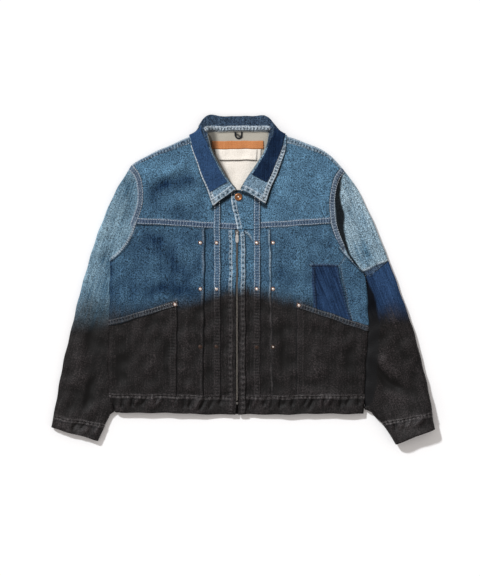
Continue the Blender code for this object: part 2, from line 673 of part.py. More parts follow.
def over_front(side, y_of, start, end=None, lift=ON_DENIM):
    """A row lying over the front from a start to an end, or round the side fold to the side seam."""
    y_side = y_of(REACH)
    flat_end, radius, _ = side_fold(side, y_side)
    if end is None:
        stations = [lerp(start, flat_end, share) for share in (0.0, 0.5, 1.0)]
        stations += [flat_end + radius * pi / 4, flat_end + radius * pi / 2 - SIDE_SEAM["body"]]
    else:
        stations = [start, end]
    return [wrapped(side, a, y_of(a), lift) for a in stations]


def make_pockets():
    """A patch pocket on each front, with a doubled welt along its slanted mouth."""
    for side in "rl":
        pocket = POCKET[side]

        def bottom(a, side=side):
            return hem_y(side, min(a, REACH), 0.0) + ABOVE_HEM

        def mouth(a, side=side):
            return mouth_y(side, a)

        rows = [over_front(side, bottom, pocket["bottom"]),
                over_front(side, lambda a: SIDE_ROWS[side][0], pocket["bottom"]),
                over_front(side, mouth, pocket["top"])]
        cloth("pocket_" + side, rows, PATCH_CLOTH, dyed_denim())
        start = pocket["top"] - WELT_PAST
        rows = [over_front(side, lambda a: mouth(a) - WELT, start, lift=ON_PATCH),
                over_front(side, lambda a: mouth(a) + WELT_PAST, start, lift=ON_PATCH)]
        cloth("welt_" + side, rows, PATCH_CLOTH, dyed_denim())


def make_patches():
    """The dark patch above the wearer's left pocket, and the piece set in under that arm."""
    def foot(a):
        return mouth_y("l", a) + 2 * GAP

    rows = [[wrapped("l", a, foot(a), ON_DENIM) for a in PATCH_FOOT],
            [wrapped("l", a, PATCH_TOP_Y, ON_DENIM) for a in PATCH_TOP]]
    cloth("patch_l", rows, PATCH_CLOTH, indigo_cloth())
    rows = [over_front("l", foot, SIDE_PATCH_FOOT)]
    for row, start, loose, last in zip(front_rows("l")[3:6], SIDE_PATCH_EDGE, (1, 1, 2), (6, 5, 5)):
        stations = side_stations("l", row, start)
        before = (stations[4] + stations[last]) / 2
        rows.append([front_point("l", row, a, ON_DENIM + loose * GAP)
                     for a in (start, stations[2], stations[4], before, stations[last])])
    left, right, y = SIDE_PATCH_TIP
    rows.append([(lerp(left, right, i / 4), y, TOP + ON_DENIM) for i in range(5)])
    cloth("side_patch_l", rows, PATCH_CLOTH, blue_denim())


def make_zip():
    """The plackets and tapes beside the zip, its closed chain, slider, pull tab and bottom stop."""
    for side in "rl":
        sign = SIGN[side]
        near, far = STRIP[side]
        flat_level = INNER_LEVEL + ON_DENIM
        rows = [[(sign * a, hem_y(side, a, 0.0) + 1.0, flat_level) for a in (near, far)],
                [(sign * a, STRIP_TOP, flat_level) for a in (near, far)]]
        cloth("strip_" + side, rows, PATCH_CLOTH, blue_denim())
        far = PLACKET[side]
        tape_level = INNER_LEVEL + DENIM / 2 + GAP + TAPE / 2
        rows = [[(sign * a, y, tape_level) for a in (CHAIN_HALF + GAP, far - 2.0)]
                for y in (ZIP_END, ZIP_TOP)]
        cloth("zip_tape_" + side, rows, TAPE, dyed_denim())
        level = tape_level + TAPE / 2 + GAP + PATCH_CLOTH / 2
        corner = PLACKET_CORNER[side]
        rows = [[(sign * PLACKET_EDGE, y, level), (sign * (far - back), y, level)]
                for y, back in ((HEM_EDGE["centre"] + 1.0, 0.0), (ZIP_TOP - corner, 0.0),
                                (ZIP_TOP - corner * 0.3, corner * 0.3), (ZIP_TOP, corner))]
        cloth("zip_placket_" + side, rows, PATCH_CLOTH, blue_denim())
    level = (CHAIN_LOW + CHAIN_TOP) / 2
    for name, low, high in (("zip_chain", ZIP_END + GAP, ZIP_TOP),
                            ("zip_stop", ZIP_END - STOP_LENGTH, ZIP_END)):
        rows = [[(x, y, level) for x in (-CHAIN_HALF, CHAIN_HALF)] for y in (low, high)]
        cloth(name, rows, CHAIN_TOP - CHAIN_LOW, steel())
    make_slider()
    make_pull()


def solid(name, size, at, finish=None):
    """A box, or a hidden one that only serves a Boolean."""
    bm = bmesh.new()
    bmesh.ops.create_cube(bm, size=1.0)
    bmesh.ops.scale(bm, vec=Vector(size) * MM, verts=bm.verts)
    bmesh.ops.translate(bm, vec=Vector(at) * MM, verts=bm.verts)
    mesh = bpy.data.meshes.new(name)
    bm.to_mesh(mesh)
    bm.free()
    made = add_object(name, mesh, finish or steel())
    if finish is None:
        made.hide_render = True
        made.display_type = "WIRE"
    return made


def rod(name, radius, length, at, finish=None, segments=20):
    """A round bar along x, or a hidden one that only serves a Boolean."""
    bm = bmesh.new()
    turn = Matrix.Rotation(pi / 2, 4, "Y")
    bmesh.ops.create_cone(bm, cap_ends=True, segments=segments, radius1=radius * MM, radius2=radius * MM,
                          depth=length * MM, matrix=Matrix.Translation(Vector(at) * MM) @ turn)
    mesh = bpy.data.meshes.new(name)
    bm.to_mesh(mesh)
    bm.free()
    made = add_object(name, mesh, finish or steel())
    if finish is None:
        made.hide_render = True
        made.display_type = "WIRE"
    return made


def combine(target, other, operation):
    step = target.modifiers.new(other.name, "BOOLEAN")
    step.operation = operation
    step.solver = "EXACT"
    step.object = other


def make_slider():
    """The slider on the chain: a waisted plate with two ears and the pin that carries the pull."""
    level = CHAIN_TOP + GAP
    bm = bmesh.new()
    corners = [bm.verts.new(Vector((x, SLIDER_Y + y, level)) * MM) for x, y in SLIDER_OUTLINE]
    face = bm.faces.new(corners)
    grown = bmesh.ops.extrude_face_region(bm, geom=[face])
    top = [item for item in grown["geom"] if isinstance(item, bmesh.types.BMVert)]
    bmesh.ops.translate(bm, vec=(0.0, 0.0, SLIDER_PLATE * MM), verts=top)
    bmesh.ops.recalc_face_normals(bm, faces=bm.faces)
    mesh = bpy.data.meshes.new("zip_slider")
    bm.to_mesh(mesh)
    bm.free()
    slider = add_object("zip_slider", mesh, steel())
    base = level + SLIDER_PLATE / 2
    height = PULL_LEVEL + EAR[0] - base
    for x in (-EAR_X, EAR_X):
        ear = solid("ear cutter", (*EAR, height), (x, SLIDER_Y, base + height / 2))
        combine(slider, ear, "UNION")
    pin = rod("pin cutter", PIN_RADIUS, 2 * EAR_X, (0.0, SLIDER_Y, PULL_LEVEL), segments=12)
    combine(slider, pin, "UNION")


def make_pull():
    """The pull tab: an eye round the slider's pin and a flat tab, lying down toward the hem."""
    bm = bmesh.new()
    outline = [(-x, y) for x, y in PULL_SIDE] + list(reversed(PULL_SIDE))
    corners = [bm.verts.new(Vector((x, y, -PULL_THICKNESS / 2)) * MM) for x, y in outline]
    face = bm.faces.new(corners)
    grown = bmesh.ops.extrude_face_region(bm, geom=[face])
    top = [item for item in grown["geom"] if isinstance(item, bmesh.types.BMVert)]
    bmesh.ops.translate(bm, vec=(0.0, 0.0, PULL_THICKNESS * MM), verts=top)
    bmesh.ops.recalc_face_normals(bm, faces=bm.faces)
    mesh = bpy.data.meshes.new("zip_pull")
    bm.to_mesh(mesh)
    bm.free()
    pull = add_object("zip_pull", mesh, steel())
    eye = rod("eye cutter", EYE_RADIUS, EYE_WIDTH, (0.0, 0.0, 0.0))
    hole = rod("pin hole cutter", PIN_RADIUS + GAP, EYE_WIDTH + 2.0, (0.0, 0.0, 0.0))
    combine(pull, eye, "UNION")
    combine(pull, hole, "DIFFERENCE")
    for piece in (pull, eye, hole):
        piece.location = Vector((0.0, SLIDER_Y, PULL_LEVEL)) * MM
        piece.rotation_euler.x = radians(PULL_REST)


def turned(name, profile, at, finish, segments):
    """A turned piece: radius and height down its outer side, from the top of its axis to the bottom."""
    bm = bmesh.new()
    line = [bm.verts.new(Vector((radius, 0.0, height)) * MM) for radius, height in profile]
    edges = [bm.edges.new(pair) for pair in zip(line, line[1:])]
    bmesh.ops.spin(bm, geom=line + edges, cent=(0, 0, 0), axis=(0, 0, 1), angle=2 * pi, steps=segments)
    bmesh.ops.remove_doubles(bm, verts=bm.verts, dist=0.02 * MM)
    bmesh.ops.recalc_face_normals(bm, faces=bm.faces)
    mesh = bpy.data.meshes.new(name)
    bm.to_mesh(mesh)
    bm.free()
    mesh.shade_smooth()
    made = add_object(name, mesh, finish)
    made.location = Vector(at) * MM
    return made


def make_hardware():
    """The neck button and the rivets at the pleats and pocket corners."""
    on_piece = INNER_LEVEL + ON_DENIM + PATCH_CLOTH / 2 + GAP
    turned("button", BUTTON, (*BUTTON_AT, on_piece), copper(), 24)
    for side in "rl":
        sign = SIGN[side]
        on_strip, on_front = RIVET_COLUMNS[side]
        for number, y in enumerate(RIVET_ROWS, start=1):
            at = (sign * on_strip, y, on_piece)
            turned(f"rivet_strip_{side}_{number}", RIVET, at, copper(), 12)
            at = (sign * on_front, y, TOP + DENIM / 2 + GAP)
            turned(f"rivet_front_{side}_{number}", RIVET, at, copper(), 12)
        x, y = POCKET_RIVET[side]
        at = (sign * x, y, TOP + ON_PATCH + PATCH_CLOTH / 2 + GAP)
        turned("rivet_pocket_" + side, RIVET, at, copper(), 12)


def make_neck_tab():
    """The wearer's left front edge, which laps over the right one above the zip and carries the button."""
    level = INNER_LEVEL + ON_DENIM
    rows = [[(left, y, level), (STRIP["l"][0] - 2 * GAP, y, level)] for y, left in NECK_TAB]
    cloth("neck_tab_l", rows, PATCH_CLOTH, blue_denim())


def make_labels():
    """What is sewn inside the back of the neck: leather strip, label, small label and hanger loop."""
    floor = DENIM + NECK_LIFT + GAP
    leather = material("leather", "#c28154", 0.55)
    paper_white = material("label_cloth", "#ebe5dd", 0.8)
    left, right, low, high = LEATHER_STRIP
    level = floor + LEATHER / 2
    cloth("leather_strip", [[(left, y, level), (right, y, level)] for y in (low, high)], LEATHER, leather)
    left, right, low, high = LABEL_LARGE
    level = floor + LABEL / 2
    cloth("label_large", [[(left, y, level), (right, y, level)] for y in (low, high)], LABEL, paper_white)
    left, right, low, high = LABEL_SMALL
    level += LABEL + GAP
    rows = [[(left, lerp(low, high, share), level + SMALL_LIFTS * lifted),
             (right, lerp(low, high, share), level + SMALL_LIFTS * lifted)]
            for share, lifted in ((0.0, 1.0), (0.4, 0.1), (1.0, 0.0))]
    cloth("label_small", rows, LABEL, paper_white)
    reaches = (HANGER["outer"], HANGER["inner"])
    level = floor + PATCH_CLOTH / 2
    rows = [[(HANGER["x"] + reach * cos(radians(turn)), HANGER["bottom"] - reach * sin(radians(turn)), level)
             for reach in reaches] for turn in range(0, 181, 30)]
    ends = [[(x, HANGER["top"], z) for x, _, z in row] for row in (rows[0], rows[-1])]
    cloth("hanger_loop", [ends[0]] + rows + [ends[1]], PATCH_CLOTH, dyed_denim())


def collar_sections(side):
    """Columns of the collar round half the neck: seam, stand, roll line, past it, leaf and outer edge."""
    sections = []
    for neck, roll, leaf, stand, past, middle in COLLAR_FRONT[side]:
        neck, roll, leaf = Vector(neck), Vector(roll), Vector(leaf)
        sections.append([neck, raised(neck.lerp(roll, STAND_SHARE), stand), roll,
                         raised(roll.lerp(leaf, PAST_ROLL), past), raised(roll.lerp(leaf, HALF_LEAF), middle),
                         leaf])
    low = DENIM / 2 + NECK_LIFT
    centre_z = (low + TOP) / 2
    body_radius = (TOP - low) / 2
    for turn, neck, roll, past in COLLAR_SHOULDER[side]:
        neck, roll = Vector(neck), Vector(roll)
        stand = neck.lerp(roll, STAND_SHARE) + Vector((0.0, 0.0, STAND_BOW))
        section = [neck, stand, roll, Vector(past)]
        for x in LEAF_OVER_SHOULDER[side]:
            centre = shoulder_at(side, x, body_radius + DENIM / 2)
            out = centre[1] * LEAF_RADIUS * sin(radians(turn))
            at = centre[0] - out
            section.append(Vector((at.x, at.y, centre_z + LEAF_RADIUS * cos(radians(turn)))))
        sections.append(section)
    under = centre_z - LEAF_RADIUS
    for neck, roll, leaf in COLLAR_BACK[side]:
        neck, roll, leaf = Vector(neck), Vector(roll), Vector((*leaf, under))
        sections.append([neck, raised(neck.lerp(roll, BACK_STAND_SHARE), BACK_STAND), roll,
                         raised(roll.lerp(leaf, PAST_BACK_ROLL), under), raised(roll.lerp(leaf, 0.5), under),
                         leaf])
    return [[Vector((SIGN[side] * p.x, p.y, p.z)) for p in section] for section in sections]


def raised(point, level):
    return Vector((point.x, point.y, level))


def shoulder_at(side, x, deep):
    """The point of the shoulder fold at x, moved deep into the garment, and the way in."""
    points = shoulder_points(side)
    for (a, inward), (b, _) in zip(points, points[1:]):
        if x <= b.x:
            return a.lerp(b, ramp(x, a.x, b.x)) + inward * deep, inward
    return points[-1][0], points[-1][1]


def moved_out(rows, distances):
    """The rows moved along their own normals, to lie on the side that shows."""
    last_row, last_column = len(rows) - 1, len(rows[0]) - 1
    moved = []
    for j, row in enumerate(rows):
        out = []
        for i, point in enumerate(row):
            along_row = row[min(i + 1, last_column)] - row[max(i - 1, 0)]
            across = rows[min(j + 1, last_row)][i] - rows[max(j - 1, 0)][i]
            out.append(point + across.cross(along_row).normalized() * distances[j])
        moved.append(out)
    return moved


def make_collar():
    """The collar, one piece folded over at its roll line, and the dark cloth sewn over its leaf."""
    right, left = collar_sections("r"), collar_sections("l")
    rows = right + list(reversed(left))
    cloth("collar", rows, COLLAR, blue_denim())
    leaf = []
    for number, row in enumerate(rows):
        border = COLLAR_BORDER["r"] if number < len(right) else COLLAR_BORDER["l"]
        leaf.append([row[2].lerp(row[3], COVER_START)] + row[3:-1] + [row[-2].lerp(row[-1], border)])
    onto = COLLAR / 2 + GAP + COLLAR_PATCH / 2
    slack = [GAP] * len(COLLAR_FRONT["r"]) + list(COLLAR_SLACK) + [0.0] * len(COLLAR_BACK["r"])
    covering = moved_out(leaf, [onto + more for more in slack + list(reversed(slack))])
    reach = len(COLLAR_FRONT["r"]) + len(COLLAR_SLACK) - 1
    cloth("collar_patch_r", covering[1:reach], COLLAR_PATCH, indigo_cloth())
    cloth("collar_patch_l", covering[-reach:-1], COLLAR_PATCH, indigo_cloth())


def centre_the_garment():
    """Move everything so that the origin is the middle of the garment's underside."""
    bpy.context.view_layer.update()
    shown = [piece for piece in bpy.data.objects if not piece.hide_render]
    graph = bpy.context.evaluated_depsgraph_get()
    corners = [piece.matrix_world @ Vector(corner) for piece in shown
               for corner in piece.evaluated_get(graph).bound_box]
    low = Vector([min(corner[axis] for corner in corners) for axis in range(3)])
    high = Vector([max(corner[axis] for corner in corners) for axis in range(3)])
    frame = bpy.data.objects.new("jacket_frame", None)
    bpy.context.collection.objects.link(frame)
    for piece in bpy.data.objects:
        if piece != frame:
            piece.parent = frame
    frame.location = (-(low.x + high.x) / 2, -(low.y + high.y) / 2, -low.z)


def main():
    clear_scene()
    make_back()
    for side in "rl":
        make_yoke(side)
        make_front(side)
    make_sleeves()
    make_hem()
    make_pockets()
    make_patches()
    make_zip()
    make_neck_tab()
    make_labels()
    make_collar()
    make_hardware()
    centre_the_garment()


main()
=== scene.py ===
import math
import random
from collections import namedtuple

import bmesh
import bpy
import numpy as np
from mathutils import Matrix, Vector
from mathutils.bvhtree import BVHTree


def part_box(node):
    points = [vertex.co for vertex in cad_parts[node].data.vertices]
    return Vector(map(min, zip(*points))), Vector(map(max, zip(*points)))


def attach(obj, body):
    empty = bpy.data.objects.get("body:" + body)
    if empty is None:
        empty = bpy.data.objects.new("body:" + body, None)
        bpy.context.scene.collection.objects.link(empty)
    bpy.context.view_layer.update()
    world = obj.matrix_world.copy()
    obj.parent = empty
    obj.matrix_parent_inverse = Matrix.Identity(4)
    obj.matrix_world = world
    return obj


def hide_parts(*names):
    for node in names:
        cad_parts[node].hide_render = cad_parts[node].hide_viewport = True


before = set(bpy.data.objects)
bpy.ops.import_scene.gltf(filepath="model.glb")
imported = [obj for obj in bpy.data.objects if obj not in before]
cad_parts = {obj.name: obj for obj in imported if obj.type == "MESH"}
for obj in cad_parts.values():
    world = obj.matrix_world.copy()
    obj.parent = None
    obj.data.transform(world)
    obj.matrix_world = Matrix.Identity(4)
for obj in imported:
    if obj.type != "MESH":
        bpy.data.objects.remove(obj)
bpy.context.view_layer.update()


# ---- The surface, the light and the camera ----
# The jacket lies on a plain white surface. One large soft light stands to the upper left and the room
# fills in the rest, so that folds and edges throw short soft shadows down to the right.

def to_linear(code):
    """An sRGB hex colour as the linear values that a shader takes."""
    parts = [int(code[i:i + 2], 16) / 255 for i in (1, 3, 5)]
    return [c / 12.92 if c <= 0.04045 else ((c + 0.055) / 1.055) ** 2.4 for c in parts] + [1.0]


def add(tree, kind, inputs=None, **settings):
    """Adds a shader node; an input is either a value or the socket that feeds it."""
    made = tree.nodes.new("ShaderNode" + kind)
    for key, value in settings.items():
        setattr(made, key, value)
    for key, value in (inputs or {}).items():
        if isinstance(value, bpy.types.NodeSocket):
            tree.links.new(value, made.inputs[key])
        else:
            made.inputs[key].default_value = value
    return made


def mix(tree, share, first, second):
    """The colour between two colours."""
    return add(tree, "Mix", {0: share, 6: first, 7: second}, data_type="RGBA").outputs[2]


def calc(tree, operation, first, second=0.0, third=0.0, clamp=False):
    """The result of one sum."""
    return add(tree, "Math", {0: first, 1: second, 2: third}, operation=operation, use_clamp=clamp).outputs[0]


def new_material(name):
    """An empty material: its tree and the socket that its surface goes to."""
    material = bpy.data.materials.new(name)
    material.use_nodes = True
    material.node_tree.nodes.clear()
    output = material.node_tree.nodes.new("ShaderNodeOutputMaterial")
    return material, material.node_tree, output.inputs["Surface"]


# White card, matt: plain white where it is seen, a little darker in the light it throws back on the cloth
surface_paint, tree, surface = new_material("white_surface")
ray = add(tree, "LightPath").outputs
seen = calc(tree, "MAXIMUM", ray["Is Camera Ray"], ray["Is Glossy Ray"])
tint = mix(tree, seen, to_linear("#dedbda"), to_linear("#fcfdfe"))
tree.links.new(add(tree, "BsdfPrincipled", {"Base Color": tint, "Roughness": 0.9,
                                           "Specular IOR Level": 0.0}).outputs[0], surface)
bm = bmesh.new()
bmesh.ops.create_grid(bm, x_segments=1, y_segments=1, size=6.0)
surface_mesh = bpy.data.meshes.new("surface")
bm.to_mesh(surface_mesh)
bm.free()
surface_mesh.materials.append(surface_paint)
floor = bpy.data.objects.new("surface", surface_mesh)
bpy.context.scene.collection.objects.link(floor)
floor.location.z = -0.0004     # a hair under the cloth, so that the two never share a plane

world = bpy.data.worlds.new("room")
bpy.context.scene.world = world
world.use_nodes = True
world.node_tree.nodes["Background"].inputs["Color"].default_value = to_linear("#fff8f4")
world.node_tree.nodes["Background"].inputs["Strength"].default_value = 0.55
lamp = bpy.data.lights.new("window", "SUN")
lamp.angle = math.radians(5)
lamp.energy = 2.7
lamp.color = (0.97, 0.985, 1.0)
window = bpy.data.objects.new("window", lamp)
bpy.context.scene.collection.objects.link(window)
window.location = (-1.75, 2.05, 2.15)
window.rotation_euler = (-window.location).to_track_quat("-Z", "Y").to_euler()

FILM = 36                      # mm, the film's longer side
CAMERA_ABOVE = 4.0             # metres over the cloth, straight down
VIEW = 1.267                   # metres of the surface that the camera takes in, up and down
lens = bpy.data.cameras.new("camera")
lens.lens = FILM * CAMERA_ABOVE / VIEW
camera = bpy.data.objects.new("camera", lens)
bpy.context.scene.collection.objects.link(camera)
camera.location = (-0.0065, -0.0169, 4.01)
bpy.context.scene.camera = camera
bpy.context.scene.view_settings.view_transform = "Standard"


# ---- The back ----
# One piece of blue denim, under the fronts, that comes over the shoulders. Everything sewn to it is laid on
# the same soft heights, so what lies on top follows what is under it.

MM = 0.001
ZIP_AT = (-13.132, 1.805)      # where the zip line and the middle of the chest lie in the frame, in mm
FAR = 1e3                      # the distance from a line that is out of reach


def smooth(points):
    """A smooth run of points through the corners of a plain one."""
    line = np.array(points, float)
    for _ in range(3):
        cut = np.empty((2 * len(line) - 2, 2))
        cut[0::2] = line[:-1] * 0.75 + line[1:] * 0.25
        cut[1::2] = line[:-1] * 0.25 + line[1:] * 0.75
        line = np.vstack([line[:1], cut, line[-1:]])
    return line


def along(x, y, line, reach):
    """Each point's distance from a line, positive to its left, how far along it is, and the line's length."""
    gap = np.full(len(x), FAR)
    run = np.zeros(len(x))
    near = np.flatnonzero((x > line[:, 0].min() - reach) & (x < line[:, 0].max() + reach)
                          & (y > line[:, 1].min() - reach) & (y < line[:, 1].max() + reach))
    px, py, best, far = x[near], y[near], gap[near], run[near]
    passed = 0.0
    for (ax, ay), (bx, by) in zip(line[:-1], line[1:]):
        dx, dy = bx - ax, by - ay
        length = math.hypot(dx, dy)
        share = np.clip(((px - ax) * dx + (py - ay) * dy) / length ** 2, 0, 1)
        ox, oy = px - ax - share * dx, py - ay - share * dy
        distance = np.hypot(ox, oy)
        closer = distance < np.abs(best)
        best = np.where(closer, np.where(dx * oy - dy * ox > 0, distance, -distance), best)
        far = np.where(closer, passed + share * length, far)
        passed += length
    gap[near], run[near] = best, far
    return gap, run, passed


def step(value, low, high):
    """0 below low, 1 above high and smooth between."""
    share = np.clip((value - low) / (high - low), 0, 1)
    return share * share * (3 - 2 * share)


# Soft folds in the cloth that lies flat: the line of each, its half width and its height, in mm
FOLDS = [
    ([(-93, 236), (-146, 219), (-179, 198), (-188, 151)], 12, -2.8),
    ([(-100, 262), (-128, 242), (-165, 228)], 11, 1.8),
    ([(-70, 190), (-120, 178), (-160, 150)], 15, 1.3),
    ([(-60, 150), (-110, 140), (-150, 124)], 12, -1.0),
    ([(-185, 100), (-160, 60), (-120, 20), (-95, -10)], 16, -1.6),
    ([(-215, 70), (-190, 20), (-170, -20)], 16, 1.5),
    ([(-240, 40), (-230, -10), (-226, -60)], 14, -1.3),
    ([(-130, 95), (-120, 60), (-118, 20)], 12, 1.1),
    ([(-228, 225), (-236, 190), (-234, 150), (-246, 100)], 9, -2.2),
    ([(-262, 190), (-285, 130), (-300, 80)], 14, 1.9),
    ([(-262, 100), (-285, 50), (-290, 0)], 12, -1.5),
    ([(-320, 40), (-335, -40), (-345, -110)], 14, 1.6),
    ([(-300, -30), (-315, -110), (-322, -180)], 14, -1.5),
    ([(-345, -120), (-350, -190), (-358, -250)], 12, 1.8),
    ([(-310, -200), (-325, -250), (-332, -300)], 10, -2.0),
    ([(-345, -314), (-350, -330), (-352, -346)], 5, -1.8),
    ([(-366, -310), (-368, -328), (-370, -340)], 6, 1.2),
    ([(80, 240), (110, 200), (120, 150)], 16, 1.4),
    ([(150, 270), (165, 220), (172, 160)], 14, -1.5),
    ([(183, 250), (190, 200), (188, 150)], 8, 1.3),
    ([(70, 175), (110, 160), (160, 130)], 12, -1.0),
    ([(120, 95), (140, 60), (150, 42)], 14, 1.3),
    ([(90, 80), (100, 30), (95, -20)], 13, -1.3),
    ([(160, 92), (190, 74), (215, 60)], 10, -1.1),
    ([(236, 205), (262, 150), (285, 70)], 10, -1.6),
    ([(258, 200), (290, 130), (312, 60)], 12, 1.8),
    ([(325, 20), (345, -60), (355, -120)], 14, 1.5),
    ([(306, -20), (320, -80), (326, -140)], 12, -1.4),
    ([(300, -170), (314, -214), (350, -238), (380, -244)], 9, -2.8),
    ([(312, -160), (335, -198), (368, -214)], 13, 2.2),
    ([(318, -242), (350, -262), (384, -268)], 11, 1.6),
    ([(345, -318), (368, -323), (394, -319)], 7, 1.6),
    ([(335, -303), (365, -309), (402, -303)], 5, -1.3),
    ([(-200, -110), (-195, -180), (-190, -235)], 18, 1.0),
    ([(-250, -120), (-255, -190), (-262, -240)], 14, -1.3),
    ([(-160, -120), (-158, -180), (-156, -230)], 10, -0.9),
    ([(180, -120), (178, -190), (180, -235)], 18, 1.0),
    ([(245, -130), (250, -190), (250, -240)], 14, -1.2),
    ([(-112, -60), (-112, -140), (-115, -230)], 9, 1.0),
    ([(100, -60), (102, -150), (104, -235)], 9, -1.1),
    ([(-31, 60), (-30, -60), (-28, -220)], 4, -0.8),
    ([(28, 60), (28, -60), (28, -220)], 4, -0.8),
]
# Short slanting creases along the hem band and the cuffs, where the double cloth shrank against its thread
chance = random.Random(11)
for start, end, count, deep in (((-276, -257), (-22, -260), 15, 30), ((22, -260), (274, -257), 15, 30),
                                ((-396, -306), (-300, -323), 6, 26), ((425, -297), (328, -319), 6, 30)):
    for number in range(count):
        share = (number + chance.uniform(0.1, 0.9)) / count
        x, y = start[0] + (end[0] - start[0]) * share, start[1] + (end[1] - start[1]) * share
        slant = chance.uniform(-18, 2)
        foot = y - deep * chance.uniform(0.6, 1.0)
        crease = [(x - slant * 0.2, y + chance.uniform(2, 8)), (x + slant * 0.4, (y + foot) / 2),
                  (x + slant, foot)]
        FOLDS.append((crease, chance.uniform(2.8, 5.0), chance.choice((-1, 1)) * chance.uniform(1.6, 3.2)))
FOLD_DEPTH = 1.45              # each one stands this many times its height in the list
FOLD_LINES = [(smooth(points), width, FOLD_DEPTH * height) for points, width, height in FOLDS]

